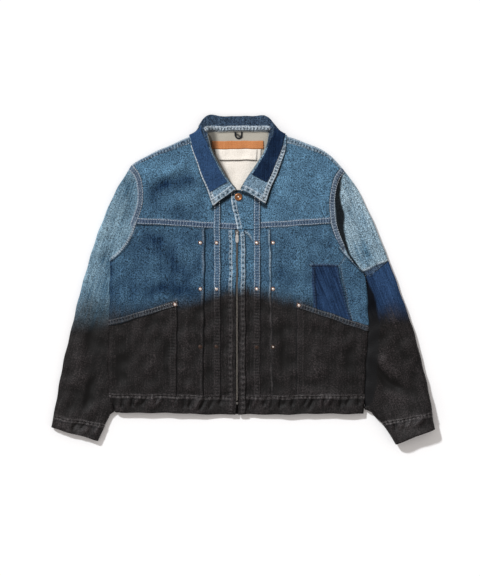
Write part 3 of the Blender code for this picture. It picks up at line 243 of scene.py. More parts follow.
# Sewn lines: the run of each in mm, where its raised band starts and ends to the left of it, the pitch of its
# puckers, its rise, how pale and how grey it is worn, where a painted shadow line lies beside it, and the
# pieces it marks. A plain one is a worn fold or edge that no stitches hold, and takes PLAIN for its pitch;
# its pale line is partly wear and partly a painted highlight along the edge.
Seam = namedtuple("Seam", "line low high pitch rise worn greyed beside pieces")
PLAIN = 60
SEAM_REACH = 20                # how far from its line a seam or a shadow still tells
SEAMS = [
    ([(-80, 326), (-118, 308.5), (-156, 292), (-190, 277), (-212, 267), (-230, 253.5)],
     1, 15, 6.6, 0.3, 0.95, 0.5, 15.5, ("back",)),
    ([(84, 326), (122, 311.5), (156, 299.5), (186, 287), (208, 273), (231, 248)],
     -15, -1, 6.6, 0.3, 1.2, 0.1, -15.5, ("back",)),
    ([(-226.3, 248.2), (-213.5, 233), (-206, 209), (-205.2, 182), (-209.5, 151), (-221, 122.5)],
     -13, -0.5, 6.6, 0.5, 0.7, 0.9, None, ("sleeve_r",)),
    ([(-221, 122.5), (-229.5, 95), (-246, 68.5), (-275, 43)],
     -6, -0.5, 6.6, 0.3, 0.5, 0.4, 2.0, ("sleeve_r", "front_r")),
    ([(226.3, 243.5), (213.5, 226), (205, 198), (202, 168), (203, 142), (206.5, 122.5), (216, 90), (226, 68)],
     0.5, 13, 6.6, 0.5, 0.7, 0.9, None, ("sleeve_l_upper",)),
    ([(226, 68), (237.6, 53.9), (255, 35), (274, 17.6)],
     0.5, 4, 6.6, 0.3, 0.3, 0.2, -1.5, ("sleeve_l_upper", "side_patch_l", "front_l")),
    ([(-3, 110), (-221, 122.5)], -13, -0.5, 6.6, 0.4, 0.6, 0.9, 1.5, ("yoke_r", "front_r")),
    ([(3.6, 110), (206.5, 122.5)], 0.5, 13, 6.6, 0.4, 0.65, 0.8, -1.5, ("yoke_l", "front_l")),
    ([(-43.7, 188), (-43.7, -256)], -6.5, 6.5, 6.6, 0.3, 0.45, 0.6, 8, ("strip_r", "front_r", "yoke_r")),
    ([(44, 188), (44, -256)], -6.5, 6.5, 6.6, 0.3, 0.45, 0.6, 8, ("strip_l", "front_l", "yoke_l")),
    ([(-14.5, 108), (-14.5, -290)], -4.5, 4, 11.5, 0.5, 1.0, 0.0, None, ("zip_placket_r",)),
    ([(13.5, 100), (13.5, -290)], -4.5, 4, 11.5, 0.5, 1.0, 0.0, 5, ("zip_placket_l",)),
    ([(-3, -259.5), (-285, -254.5)], -3, 5, 9.5, 0.6, 1.7, 0.0, 6.5, ("hem_r", "front_r", "pocket_r")),
    ([(3, -259.5), (283, -256)], -5, 3, 9.5, 0.6, 1.7, 0.0, -6.5, ("hem_l", "front_l", "pocket_l")),
    ([(-404.8, -302), (-291.5, -321.8)], -5, 3, 8.5, 0.5, 1.5, 0.0, -6.5, ("cuff_r", "sleeve_r")),
    ([(430.5, -294), (320.5, -317.5)], -3, 5, 8.5, 0.5, 1.5, 0.0, 6.5, ("cuff_l", "sleeve_l_lower")),
    ([(-131, -58), (-133, -252)], -15, -2, 6.6, 0.25, 0.28, 0.0, 0.4, ("pocket_r", "front_r")),
    ([(131, -60), (131, -252)], 2, 15, 6.6, 0.25, 0.35, 0.0, -0.4, ("pocket_l", "front_l")),
    ([(-131, -46.5), (-287, -90.5)], 0.8, 11, 6.6, 0.25, 0.85, 0.3, 12.6, ("welt_r", "pocket_r")),
    ([(131, -50), (285, -101)], -11, -0.8, 6.6, 0.25, 0.85, 0.3, -12.6, ("welt_l", "pocket_l")),
    ([(-71.5, 108), (-76.7, -252)], -4.5, -0.8, PLAIN, 0.1, 0.3, 0.3, 1.0, ("front_r",)),
    ([(71.5, 108), (76.7, -252)], -1.6, 0.2, PLAIN, 0.1, 0.55, 0.0, 2.2, ("front_l",)),
    ([(163, 33.5), (220, 33.5)], -4, -0.5, 6.6, 0.2, 0.35, 0.0, -5.0, ("patch_l", "front_l")),
    ([(162.8, 33), (169.4, -62)], 1, 6, 6.6, 0.15, 0.12, 0.0, 6.5, ("patch_l", "front_l")),
    ([(219.5, 33), (250, -88)], -4, -1, 6.6, 0.15, 0.1, 0.0, 1.0, ("patch_l", "side_patch_l")),
    ([(223.2, 33), (229.5, 6), (241.4, -48), (251.6, -98)],
     0.5, 4, 6.6, 0.15, 0.2, 0.0, 0.6, ("side_patch_l",)),
    ([(334, 42), (271, 17.3)], -3.5, 0.2, PLAIN, 0.2, 0.9, 0.0, 1.4, ("sleeve_l_upper",)),
    ([(223.2, 33), (237, 51)], -3, -1, PLAIN, 0.2, 0.2, 0.0, 0.2, ("side_patch_l", "front_l")),
    ([(-52.4, 162.6), (-63.5, 191.5), (-78.5, 230), (-92, 268), (-101.5, 294)],
     -8, 0.4, 7, 0.3, 1.25, 0.0, None, ("collar",)),
    ([(61.6, 168), (76.5, 209), (88, 232), (98, 258), (107, 286)],
     -0.4, 10, 7, 0.3, 1.1, 0.0, None, ("collar",)),
    ([(-52.4, 162.6), (-28, 178), (-5, 196)], 1, 14, 12, 0.7, 0.9, 0.0, None, ("collar",)),
    ([(61.6, 168), (36, 182), (10, 195)], -13, -1, 13, 0.7, 0.8, 0.0, None, ("collar",)),
    ([(-66, 331), (-40, 331.5), (40, 331.5), (66, 331)], -5.5, 6, 7, 0.4, 1.25, 0.1, -7, ("collar", "back")),
    ([(1.5, 111), (-5.5, 140), (-13.5, 176), (-14, 191)],
     -10, -0.8, 10, 0.6, 0.9, 0.0, None, ("neck_tab_l",)),
    ([(1.5, 111), (-5.5, 140), (-13.5, 176), (-14, 191)],
     -1.4, 0.4, PLAIN, 0.0, 1.3, 0.0, None, ("neck_tab_l",)),
    ([(-52.4, 162.6), (-28, 178), (-5, 196)], -0.6, 1.2, PLAIN, 0.0, 1.3, 0.0, None, ("collar",)),
    ([(61.6, 168), (36, 182), (10, 195)], -1.2, 0.6, PLAIN, 0.0, 1.3, 0.0, None, ("collar",)),
    ([(12, 106), (22, 103), (30, 96), (34, 86)], -1, 1, PLAIN, 0.1, 0.8, 0.0, -2.5, ("front_l",)),
]
SEAMS = [Seam(smooth(line), *facts) for line, *facts in SEAMS]
# Shade under an edge: the edge's line in mm, how far it falls to the left of the line's start and of its end,
# how deep it is, and the pieces that it falls on
SHADOWS = [
    (smooth([(-52.4, 162), (-28, 178), (-5, 195), (0, 196)]), -12, -8, 0.9,
     ("yoke_r", "strip_r", "neck_tab_l", "yoke_l")),
    (smooth([(63, 163), (36, 180), (8, 194)]), 8, 7, 0.9, ("yoke_l", "strip_l", "neck_tab_l")),
    (smooth([(60.5, 166), (76.5, 209), (88, 232), (98, 258), (107, 286)]), -9, -2, 0.9,
     ("yoke_l", "strip_l")),
    (smooth([(-62, 322), (-52.5, 277), (-37, 246), (-16.5, 216), (-1, 196)]), 20, 5, 0.72,
     ("back", "collar", "label_large", "label_small", "leather_strip")),
    (smooth([(44, 263.5), (-41, 263.5)]), 5, 4, 0.8, ("label_large",)),
    (smooth([(-1, 319), (10, 313)]), 5, 3, 0.9, ("back",)),
    (smooth([(10, 313), (-1, 319)]), 4, 4, 0.9, ("back",)),
    (smooth([(-53, 166), (-63.5, 191.5), (-78.5, 230), (-92, 268)]), 2.5, 1.5, 0.9, ("yoke_r", "strip_r")),
]
# Deep shade on the left sleeve, where it drops in behind the body: y, and from where to where across, in mm
SHADES = {
    "sleeve_l_upper": [(240, 236, 237), (218, 220, 230), (189, 215, 226), (167, 215, 230), (145, 216, 236),
                       (130, 218, 237), (115, 221, 236), (100, 225, 238), (86, 231, 240), (56, 243, 249),
                       (27, 262, 269), (5, 280, 287)],
    "sleeve_l_lower": [(12, 260, 292), (0, 260, 297), (-32, 260, 307), (-62, 260, 311), (-90, 260, 313),
                       (-119, 260, 314), (-178, 260, 311), (-237, 260, 307), (-266, 260, 301),
                       (-286, 260, 289)],
}
# The edge of the dye: x, the y where the black begins and the y below which all is black, in mm
EDGE_OF_DYE = np.array([
    (-367, -38, -124), (-334, -14, -122), (-279, -26, -114), (-213, -42, -92), (-147, -36, -77),
    (-81, -18, -62), (-26, -1, -41), (29, -1, -41), (95, -14, -63), (161, -30, -74),
    (227, -58, -97), (271, -70, -110), (337, -30, -103), (359, -41, -100)])
# Slow waves all over the cloth: the way each one runs, in radians, and its pitch and the length of its sway,
# in mm
WAVES = [[chance.uniform(0, 3.14), chance.uniform(26, 70), chance.uniform(30, 60)] for _ in range(14)]
WAVE_HEIGHT = 0.2
PUCKER_HEIGHT = 0.32           # beside the seams, where the cloth has shrunk against their thread
CUFF_RISE = 7.0


def lift(x, y):
    """How far the cloth that lies on top stands up or sinks at points of the garment, in mm."""
    height = np.zeros(len(x))
    for line, width, rise in FOLD_LINES:
        gap, run, length = along(x, y, line, 3 * width)
        height += (rise * np.exp(-(gap / width) ** 2) * step(run, 0, length * 0.3)
                   * (1 - step(run, length * 0.7, length)))
    for turn, pitch, sway in WAVES:
        down = y * math.cos(turn) - x * math.sin(turn)
        across = x * math.cos(turn) + y * math.sin(turn) + 9 * np.sin(down / sway)
        height += WAVE_HEIGHT * np.sin(across / pitch * 2 * math.pi)
    for seam in SEAMS:
        gap, run, _ = along(x, y, seam.line, SEAM_REACH)
        band = step(gap, seam.low - 0.8, seam.low + 0.8) * (1 - step(gap, seam.high - 0.8, seam.high + 0.8))
        outside = np.maximum(np.maximum(seam.low - gap, gap - seam.high), 0)
        near = np.exp(-(outside / 4) ** 2) * (np.abs(gap) < FAR)
        puckers = np.sin(2 * math.pi * run / seam.pitch + 1.6 * np.sin(run / 31))
        height += seam.rise * band + near * PUCKER_HEIGHT * puckers
    # No folds in the middle of the fronts, where the zip lies
    return height * np.where(y < 118, step(np.abs(x), 2, 9), 1)


def raised(x, y):
    """How far the end of the wearer's left sleeve stands off the surface, at its outer corner, in mm."""
    return CUFF_RISE * step(x - 0.35 * y, 395, 540) * step(-y, 190, 290)


# Where the denim has faded more or less than the rest: the middle of each soft patch, its reach across and up
# and down, and how much lighter it is
FADING = [
    (-165, 248, 45, 26, 0.14), (-102, 220, 22, 15, -0.2), (-142, 205, 38, 20, -0.24),
    (-186, 170, 18, 36, -0.14), (-130, 150, 60, 26, -0.19), (-292, 0, 18, 75, -0.3),
    (-335, -30, 30, 50, -0.2), (-262, 200, 26, 30, -0.24), (-150, -22, 60, 22, -0.16),
    (-160, 78, 50, 25, -0.07), (-60, 150, 30, 40, 0.04),
    (-200, 60, 45, 40, -0.04), (-130, 0, 50, 40, -0.06), (-30, 60, 12, 120, 0.12), (28, 60, 12, 120, 0.08),
    (-238, 190, 14, 50, -0.12), (-300, 90, 26, 110, 0.12), (-340, -40, 24, 40, -0.06),
    (150, 235, 60, 40, 0.06), (110, 150, 60, 25, -0.02), (150, 60, 60, 40, 0.02), (110, 0, 60, 30, -0.1),
    (95, 90, 30, 20, -0.05),
    (265, 200, 30, 40, 0.14), (283, 62, 22, 35, -0.28), (310, 90, 16, 60, 0.05), (345, -10, 30, 30, 0.06),
]
# Where even black cloth is rubbed to grey, at the cuffs, the hem and the foot of a pocket: the same facts
RUBBED = [
    (369, -308, 26, 14, 0.26), (374, -331, 32, 13, 0.24), (352, -272, 36, 24, 0.06),
    (-375, -312, 34, 13, 0.19), (-345, -331, 38, 13, 0.17), (190, -243, 42, 13, 0.1),
    (-255, -250, 20, 15, 0.08), (-40, -276, 42, 11, 0.06), (150, -290, 110, 12, 0.05),
    (-150, -292, 110, 12, 0.05),
]


def fading(x, y, spots):
    """How much lighter or darker than its piece the cloth is at points of the garment, from soft spots."""
    total = np.zeros(len(x))
    for across, up, reach_x, reach_y, amount in spots:
        total += amount * np.exp(-((x - across) / reach_x) ** 2 - ((y - up) / reach_y) ** 2)
    return total


def marks(node, x, y):
    """How far the cloth of one piece is worn pale and greyed along its seams, and how deep the painted shade
    on it
    is: in the hollows between puckers, in shadow lines beside seams, under edges and where it drops behind
    another piece.
    """
    pale, grey, dark = np.zeros((3, len(x)))
    for seam in SEAMS:
        if node in seam.pieces:
            low, high = seam.low, seam.high
            gap, run, _ = along(x, y, seam.line, SEAM_REACH)
            here = np.abs(gap) < FAR
            band = step(gap, low - 0.6, low + 0.6) * (1 - step(gap, high - 0.6, high + 0.6))
            rim = np.exp(-((gap - low - 1) / 1.2) ** 2) + np.exp(-((gap - high + 1) / 1.2) ** 2)
            tops = 0.5 + 0.5 * np.sin(2 * math.pi * run / seam.pitch + 1.3 * np.sin(run / 31))
            middle = np.exp(-((gap - (low + high) / 2) / max(1.4, (high - low) / 5)) ** 2)
            ridges = np.clip(rim * (0.55 + 0.45 * tops) + middle * (tops - 0.45) * 1.3, 0, 1)
            pale = np.maximum(pale, here * seam.worn * ridges)
            # Painted shade, near black, in the hollows between the puckers
            if seam.pitch != PLAIN:
                hollows = np.clip(middle * (0.55 - tops) * 2.2, 0, 1)
                dark = np.maximum(dark, here * min(seam.worn, 1) * hollows)
            pale = np.maximum(pale, here * band * max(seam.worn - 0.8, 0) * 1.2 * (0.6 + 0.4 * tops))
            grey = np.maximum(grey, seam.greyed * band)
            # A painted shadow line beside the band, where an edge stands over the cloth next to it
            if seam.beside is not None:
                dark = np.maximum(dark, here * 0.85 * np.exp(-((gap - seam.beside) / 1.3) ** 2))
    for line, start, end, deep, pieces in SHADOWS:
        if node in pieces:
            gap, run, length = along(x, y, line, SEAM_REACH)
            share = gap / (start + (end - start) * run / length)
            shade = deep * (1 - step(share, 0.4, 1.1)) * step(share, -0.4, 0.0) * (np.abs(gap) < FAR)
            dark = np.maximum(dark, shade)
    if node in SHADES:
        rows = np.array(SHADES[node][::-1], float)
        start, end = np.interp(y, rows[:, 0], rows[:, 1]), np.interp(y, rows[:, 0], rows[:, 2])
        inside = (y > rows[0, 0]) & (y < rows[-1, 0])
        dark = np.maximum(dark, inside * step(x, start - 1.5, start + 1.5) * (1 - step(x, end - 2, end + 2)))
    return pale, grey, dark


def put(mesh, name, values):
    """Stores one value for each vertex under a name that the materials read."""
    mesh.attributes.new(name, "FLOAT", "POINT").data.foreach_set("value", np.asarray(values, np.float32))


def dye_at(x, y):
    """How far the cloth is dyed black, from 0 above the edge of the dye to 1 below it."""
    top, foot = (np.interp(x, EDGE_OF_DYE[:, 0], EDGE_OF_DYE[:, column]) for column in (1, 2))
    return step(top - y, 0, top - foot)


def fine_copy(node, finest, crease):
    """A smooth copy of a cloth piece's form, as a mesh with edges of at most finest mm.

    The solid's mesh is loose triangles, so they are merged and joined to larger faces before they are
    rounded, and edges that bend more than crease degrees stay sharp. What lies lower than 4 mm is hidden,
    and is divided less.
    """
    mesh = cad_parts[node].data.copy()
    mesh.materials.clear()
    bm = bmesh.new()
    bm.from_mesh(mesh)
    bmesh.ops.remove_doubles(bm, verts=bm.verts, dist=0.00002)
    bmesh.ops.join_triangles(bm, faces=bm.faces, angle_face_threshold=0.15, angle_shape_threshold=3.1)
    creases = bm.edges.layers.float.new("crease_edge")
    for edge in bm.edges:
        edge[creases] = 1.0 if edge.calc_face_angle(0) > math.radians(crease) else 0.0
    bm.to_mesh(mesh)
    bm.free()
    rough = bpy.data.objects.new("rough", mesh)
    bpy.context.scene.collection.objects.link(rough)
    rounding = rough.modifiers.new("rounding", "SUBSURF")
    rounding.levels = rounding.render_levels = 2
    made = bpy.data.meshes.new_from_object(rough.evaluated_get(bpy.context.evaluated_depsgraph_get()))
    bpy.data.objects.remove(rough)
    bm = bmesh.new()
    bm.from_mesh(made)
    for _ in range(7):         # each round halves what is still too long
        long_edges = [edge for edge in bm.edges if edge.calc_length() > finest * MM
                      * (1 if edge.verts[0].co.z + edge.verts[1].co.z > 8 * MM else 2.2)]
        if not long_edges:
            break
        bmesh.ops.subdivide_edges(bm, edges=long_edges, cuts=1, use_grid_fill=True)
    bmesh.ops.triangulate(bm, faces=[face for face in bm.faces if len(face.verts) > 4])
    bm.to_mesh(made)
    bm.free()
    return made


# The shown form of each cut piece, by its node's name
SHELLS = {}


def cloth(node, material, finest=3.2, dyed=None,
          base=0.5, crease=55, shift=None, zones=None):
    """The shown form of one cut piece: its solid's form, finely divided, with its folds, seams, wear and
    painted shade.

    dyed is how black the whole piece is, where the edge of the dye doesn't cross it, and base is how faded
    it is. shift moves its points sideways, and zones gives more facts for its material.
    """
    mesh = fine_copy(node, finest, crease)
    mesh.name = node + "_cloth"
    co = np.empty(len(mesh.vertices) * 3, np.float32)
    mesh.vertices.foreach_get("co", co)
    co = co.reshape(-1, 3).astype(float) / MM
    x, y, z = co[:, 0] - ZIP_AT[0], co[:, 1] - ZIP_AT[1], co[:, 2].copy()
    if shift:
        across, along_it = shift(x, y)
        co[:, 0] += across
        co[:, 1] += along_it
    # No sewn edge is quite straight
    co[:, 0] += 0.6 * np.sin(y / 9.1 + 1.7 * np.sin(x / 47)) + 0.5 * np.sin(y / 23)
    sway = 0.6 * np.sin(x / 9.7 + 1.4 * np.sin(y / 41)) + 0.7 * np.sin(x / 26 + 1)
    co[:, 1] += sway * step(np.abs(x), 4, 25)
    # What lies on top follows the folds; the underside gives way a little, and never sinks into the surface
    height = lift(x, y)
    upper = step(z, 1.5, 9.0)
    under = (1 - upper) * np.clip(0.5 - 0.35 * height, 0, 1.2) * step(z, -0.1, 0.9)
    co[:, 2] = np.maximum(z + height * upper + under, 0)
    co[:, 2] += raised(x, y)
    mesh.vertices.foreach_set("co", (co * MM).astype(np.float32).ravel())
    # Wear along the seams, and painted shade under edges, beside seams and in the hollows of puckers
    pale, grey, dark = marks(node, x, y)
    black = dye_at(x, y) if dyed is None else np.full(len(x), float(dyed))
    put(mesh, "pale", pale * (1 - 0.5 * black) + fading(x, y, RUBBED))
    put(mesh, "grey", grey)
    put(mesh, "dark", dark)
    put(mesh, "rise", height)
    # Faded cloth is lighter; the tops of folds come out lighter and their troughs deeper, partly as wear and
    # partly as painted shade
    put(mesh, "fade_and_fold_shade", base + 0.035 * height + fading(x, y, FADING))
    put(mesh, "dye", black)
    up = np.array([vertex.normal.z for vertex in mesh.vertices])
    for name, values in (zones(x, y, z, up) if zones else {}).items():
        put(mesh, name, values)
    mesh.materials.append(material)
    mesh.shade_smooth()
    mesh.set_sharp_from_angle(angle=math.radians(50))
    piece = bpy.data.objects.new(node + "_cloth", mesh)
    bpy.context.scene.collection.objects.link(piece)
    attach(piece, "jacket")
    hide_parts(node)
    SHELLS[node] = piece


def worn_cloth(name, deep, light, worn="#b4c4cf", cover="#182c49", facing="#b3afa4", lean=0.0, grainy=1.0,
               streaky=0.5):
    """Woven cloth: deep where it has kept its dye and lighter where it has faded, deeper still in the troughs
    of its folds and lighter on their tops, partly as painted shade, worn pale and grey along its seams,
    painted near black where it lies in shade, and black-brown where it was dipped in dye, lighter on the
    folds there as a painted highlight.

    cover and facing are the colours of other cloth on the same piece, and lean is the angle of its warp.
    Real yarn is about 0.8 mm thick and the ribs of twill 1 mm apart, too fine to show. So the yarn's specks
    are drawn 1.8 by 2.5 mm, the warp's streaks 3.3 by 70 mm and the ribs 1.4 mm apart. Wash marks are some
    40 mm wide.
    """
    material, tree, surface = new_material(name)
    where = add(tree, "TexCoord").outputs["Object"]
    fade_and_fold_shade, pale, grey, dark, dye, covered, faced = (
        add(tree, "Attribute", attribute_name=key).outputs["Fac"]
        for key in ("fade_and_fold_shade", "pale", "grey", "dark", "dye", "cover", "facing"))
    turned = add(tree, "Mapping", {"Vector": where, "Rotation": (0, 0, math.radians(lean))}).outputs[0]
    slub = add(tree, "Mapping", {"Vector": turned, "Scale": (560, 400, 400)}).outputs[0]
    grain = add(tree, "TexNoise", {"Vector": slub, "Scale": 1.0, "Detail": 0}).outputs["Fac"]
    cloud = add(tree, "TexNoise", {"Vector": where, "Scale": 26, "Detail": 4,
                                   "Roughness": 0.6}).outputs["Fac"]
    warp = add(tree, "Mapping", {"Vector": turned, "Scale": (300, 14, 20)}).outputs[0]
    thread = add(tree, "TexNoise", {"Vector": warp, "Scale": 1.0, "Detail": 3}).outputs["Fac"]
    off_grain, off_cloud, off_thread = (
        calc(tree, "SUBTRACT", value, 0.5) for value in (grain, cloud, thread))
    share = calc(tree, "MULTIPLY_ADD", off_cloud, 0.38, fade_and_fold_shade)
    share = calc(tree, "MULTIPLY_ADD", off_thread, streaky, share, clamp=True)
    colour = mix(tree, share, to_linear(deep), to_linear(light))
    streaked = calc(tree, "MULTIPLY_ADD", off_thread, 1.4, 0.5, clamp=True)
    cover_deep = mix(tree, 0.45, to_linear(cover), to_linear("#000000"))
    cover_light = mix(tree, 0.2, to_linear(cover), to_linear(light))
    colour = mix(tree, covered, colour, mix(tree, streaked, cover_deep, cover_light))
    specks = calc(tree, "MAXIMUM", calc(tree, "MULTIPLY_ADD", off_grain, 3.0 * grainy, 1.0), 0.3)
    colour = add(tree, "HueSaturation", {"Color": colour, "Value": specks}).outputs[0]
    colour = mix(tree, faced, colour, to_linear(facing))
    colour = mix(tree, calc(tree, "MULTIPLY", grey, 0.75), colour, to_linear("#333e5c"))
    rubbed = calc(tree, "MULTIPLY_ADD", off_grain, 2.6, 0.8, clamp=True)
    rubbed = calc(tree, "MULTIPLY", pale, rubbed, clamp=True)
    colour = mix(tree, rubbed, colour, to_linear(worn))
    # Black cloth, mottled by its yarn, comes out lighter on the tops of its folds: partly wear, partly a
    # painted highlight
    rise = add(tree, "Attribute", attribute_name="rise").outputs["Fac"]
    black_tone_and_highlight = calc(tree, "MULTIPLY_ADD", off_cloud, 0.7, calc(tree, "MULTIPLY_ADD", rise, 0.22, 0.26))
    black_tone_and_highlight = calc(tree, "MULTIPLY_ADD", off_grain, 1.0, black_tone_and_highlight)
    black_tone_and_highlight = calc(tree, "MULTIPLY_ADD", off_thread, 1.2, black_tone_and_highlight, clamp=True)
    black = mix(tree, black_tone_and_highlight, to_linear("#030202"), to_linear("#272324"))
    specks = calc(tree, "MAXIMUM", calc(tree, "MULTIPLY_ADD", off_grain, 4.0, 1.0), 0.2)
    black = add(tree, "HueSaturation", {"Color": black, "Value": specks}).outputs[0]
    black = mix(tree, calc(tree, "MULTIPLY", rubbed, 0.5), black, to_linear("#8d898a"))
    ragged = calc(tree, "MULTIPLY", calc(tree, "MULTIPLY", calc(tree, "SUBTRACT", 1.0, dye), dye), 4.0)
    edge = calc(tree, "MULTIPLY_ADD", calc(tree, "ADD", off_thread, off_cloud), ragged, dye, clamp=True)
    colour = mix(tree, calc(tree, "POWER", edge, 0.8), colour, black)
    # The dark attribute is painted shade, mixed in towards near black
    colour = mix(tree, calc(tree, "MULTIPLY", dark, 0.97), colour, to_linear("#07080b"))
    twill = add(tree, "Mapping", {"Vector": turned, "Rotation": (0, 0, math.radians(28))}).outputs[0]
    ribs = add(tree, "TexWave", {"Vector": twill, "Scale": 230, "Distortion": 1.2, "Detail": 1},
               wave_type="BANDS", bands_direction="X").outputs["Fac"]
    weave = calc(tree, "MULTIPLY_ADD", ribs, 0.35, grain)
    bump = add(tree, "Bump", {"Height": weave, "Strength": 0.6, "Distance": 0.0006}).outputs[0]
    # Where the dye coats the yarn, it shines a little
    tree.links.new(add(tree, "BsdfPrincipled", {
        "Base Color": colour, "Normal": bump, "Roughness": calc(tree, "MULTIPLY_ADD", edge, -0.36, 0.9),
        "Specular IOR Level": calc(tree, "MULTIPLY_ADD", edge, 0.1, 0.1)}).outputs[0], surface)
    return material


# Stone-washed blue denim: dull mid blue, speckled where the indigo has worn off the yarn
blue_denim = worn_cloth("blue_denim", "#081f3a", "#6b96b3", streaky=0.3)


def neck_facing(x, y, z, up):
    """The back's inside at the neck has a plain twill facing, grey-cream."""
    return {"facing": (y > 190) * (y < 331) * (np.abs(x) < 78) * step(up, 0.1, 0.4)}


cloth("back", blue_denim, finest=4.0,
      zones=neck_facing)
cloth("hem_back", blue_denim, finest=4.0)


# ---- The fronts ----
# Two fronts of the same denim, each with a deep pleat, felled to the yokes above and turned round the sides,
# with a doubled hem band sewn on below.

cloth("front_r", blue_denim, base=0.26, finest=4.0)
cloth("front_l", blue_denim, base=0.34, finest=4.0)
cloth("yoke_r", blue_denim, base=0.42)
cloth("yoke_l", blue_denim, base=0.47)
cloth("hem_r", blue_denim)
cloth("hem_l", blue_denim)


# ---- The sleeves ----
# The wearer's right sleeve is one soft washed denim. The left one changes from pale washed denim to a dark
# indigo cloth below the shoulder, and both end in a plain cuff.

# Washed denim, its warp showing as soft pale streaks, and a paler one, streaked almost white
washed_denim = worn_cloth("washed_denim", "#2a4d66", "#93b0bf", lean=17, grainy=0.8, streaky=0.9)
pale_denim = worn_cloth("pale_denim", "#3f6178", "#a3bac6", lean=-21, streaky=1.3, cover="#1c3455")
# Unwashed indigo cotton: deep, even and matt, with fine lighter warp streaks
indigo_cloth = worn_cloth("indigo_cloth", "#0f1f38", "#36547c", worn="#7d92a8", lean=-21, grainy=0.5,
                          streaky=1.2)


def block_seam(x, y, z, up):
    """The pale cloth ends at a slanting seam, and the indigo goes on below it."""
    gap = along(x, y, np.array([(271.0, 17.3), (334.0, 42.0)]), 300)[0]
    return {"cover": step(-gap, -1, 0.5) * (x > 262) * (y < 46)}


def against_right(x, y):
    """The wearer's right sleeve lies close against the body's side."""
    fold = np.interp(y, (-322, -289.5, -254, 60), (291.5, 270.5, 287, 287))
    side = np.interp(y, (-300, -277, -256, 60), (263.5, 275, 283, 283))
    return (fold - side + 4.0) * (1 - step(-x - fold, 0, 24)) * step(y, -298, -286) * (1 - step(y, 30, 44)), 0


def against_left(x, y):
    """So does the left one."""
    fold = np.interp(y, (-299, -276, -248, -186, -134, 5), (300.5, 285.4, 286.4, 291.5, 294, 294))
    side = np.interp(y, (-300, -256, -181, -102, 3), (278, 280.5, 285, 289.5, 285.5))
    return -(fold - side + 1.5) * (1 - step(x - fold, 0, 26)) * step(y, -292, -282) * (1 - step(y, 8, 20)), 0


cloth("sleeve_r", washed_denim, base=0.48,
      finest=3.6, shift=against_right)
cloth("cuff_r", blue_denim)
cloth("sleeve_l_upper", pale_denim, base=0.5,
      zones=block_seam)
cloth("sleeve_l_lower", indigo_cloth, base=0.42,
      shift=against_left)
cloth("cuff_l", blue_denim)


# ---- The pockets and patches ----
# Two big patch pockets, dyed black, with a welt along their slanted mouths, a dark cotton patch above one,
# and a piece of denim set in under the wearer's left arm. All are sewn down along their turned edges.

cloth("pocket_r", blue_denim, dyed=1)
cloth("pocket_l", blue_denim, dyed=1)
cloth("welt_r", blue_denim, finest=2.2,
      dyed=0.85)
cloth("welt_l", blue_denim, finest=2.2,
      dyed=0.85)
cloth("patch_l", indigo_cloth,
      finest=2.2, dyed=0, base=0.3)
cloth("side_patch_l", blue_denim,
      finest=2.4, dyed=0, base=0.3)


# ---- The front edge ----
# Straight strips, plackets and the zip's tapes run down both front edges, each sewn along both its sides, and
# the neck tab laps over above and closes with the button.

cloth("strip_r", blue_denim, finest=2.0)
cloth("strip_l", blue_denim, finest=2.0)
cloth("zip_placket_r", blue_denim,
      finest=3.0)
cloth("zip_placket_l", blue_denim,
      finest=3.0)
cloth("zip_tape_r", blue_denim, finest=2.5)
cloth("zip_tape_l", blue_denim, finest=2.5)
cloth("neck_tab_l", blue_denim, finest=2.0)


# ---- The collar and the neck ----
# A light denim collar, folded over, with a dark cloth sewn over both leaves; inside the neck a leather strip,
# two blank labels and a small hanger loop.

def collar_cloths(x, y, z, up):
    """The collar's dark cloth goes on round the back of the neck, and its inside has the facing."""
    edge_r = smooth([(-52.4, 162.6), (-63.5, 191.5), (-78.5, 230), (-92, 268), (-101.5, 294), (-107, 318)])
    edge_l = smooth([(61.6, 168), (76.5, 209), (88, 232), (98, 258), (107, 286), (111, 318)])
    gap_r, gap_l = along(x, y, edge_r, 30)[0], along(x, y, edge_l, 30)[0]
    border = (np.abs(gap_r) < FAR) * step(gap_r, -6, -3) + (np.abs(gap_l) < FAR) * (1 - step(gap_l, 5, 9))
    dark = step(y, 286, 294) * (1 - np.clip(border, 0, 1) * (1 - step(y, 330, 338)))
    roll_r = np.interp(y, (196, 216, 246, 277, 301, 318), (-1, -16.5, -37, -52.5, -61.5, -66))
    roll_l = np.interp(y, (199, 232, 252, 273, 301, 318), (8, 28.5, 43, 56.5, 67, 70))
    between = step(x, roll_r - 0.5, roll_r + 1.5) * (1 - step(x, roll_l - 1.5, roll_l + 0.5))
    inner = between * (1 - step(y, 322, 326))
    rope = (np.abs(x) < 68) * step(y, 321, 324) * (1 - step(y, 337, 339))
    return {"cover": dark * (1 - rope) * (1 - inner), "facing": inner}


def square_roll(x, y):
    """The collar's roll is square at its two upper corners."""
    return (2.5 * np.sign(x) * np.exp(-((np.abs(x) - 78) / 16) ** 2) * step(y, 328, 342),
            6 * np.exp(-((np.abs(x) - 62) / 17) ** 2) * step(y, 338, 350))


def tucked(x, y):
    """The dark cloth's upper ends run in under the roll."""
    return -0.5 * np.sign(x) * np.maximum(y - 322, 0) * step(np.abs(x), 70, 95), 0


def into_the_neck(x, y):
    """The large label goes on down behind the collar's tips."""
    return 0, -9 * (1 - step(y, 205, 240))


# Light washed denim, worn almost white along its sewn edges
# Its inside facing is a little darker than the back's, as painted shade under the roll
collar_denim = worn_cloth("collar_denim", "#2a4a68", "#8fabbd", worn="#dbe4ea", facing="#a3a49c")
cloth("collar", collar_denim,
      finest=2.6, dyed=0, base=0.5, crease=75, shift=square_roll,
      zones=collar_cloths)
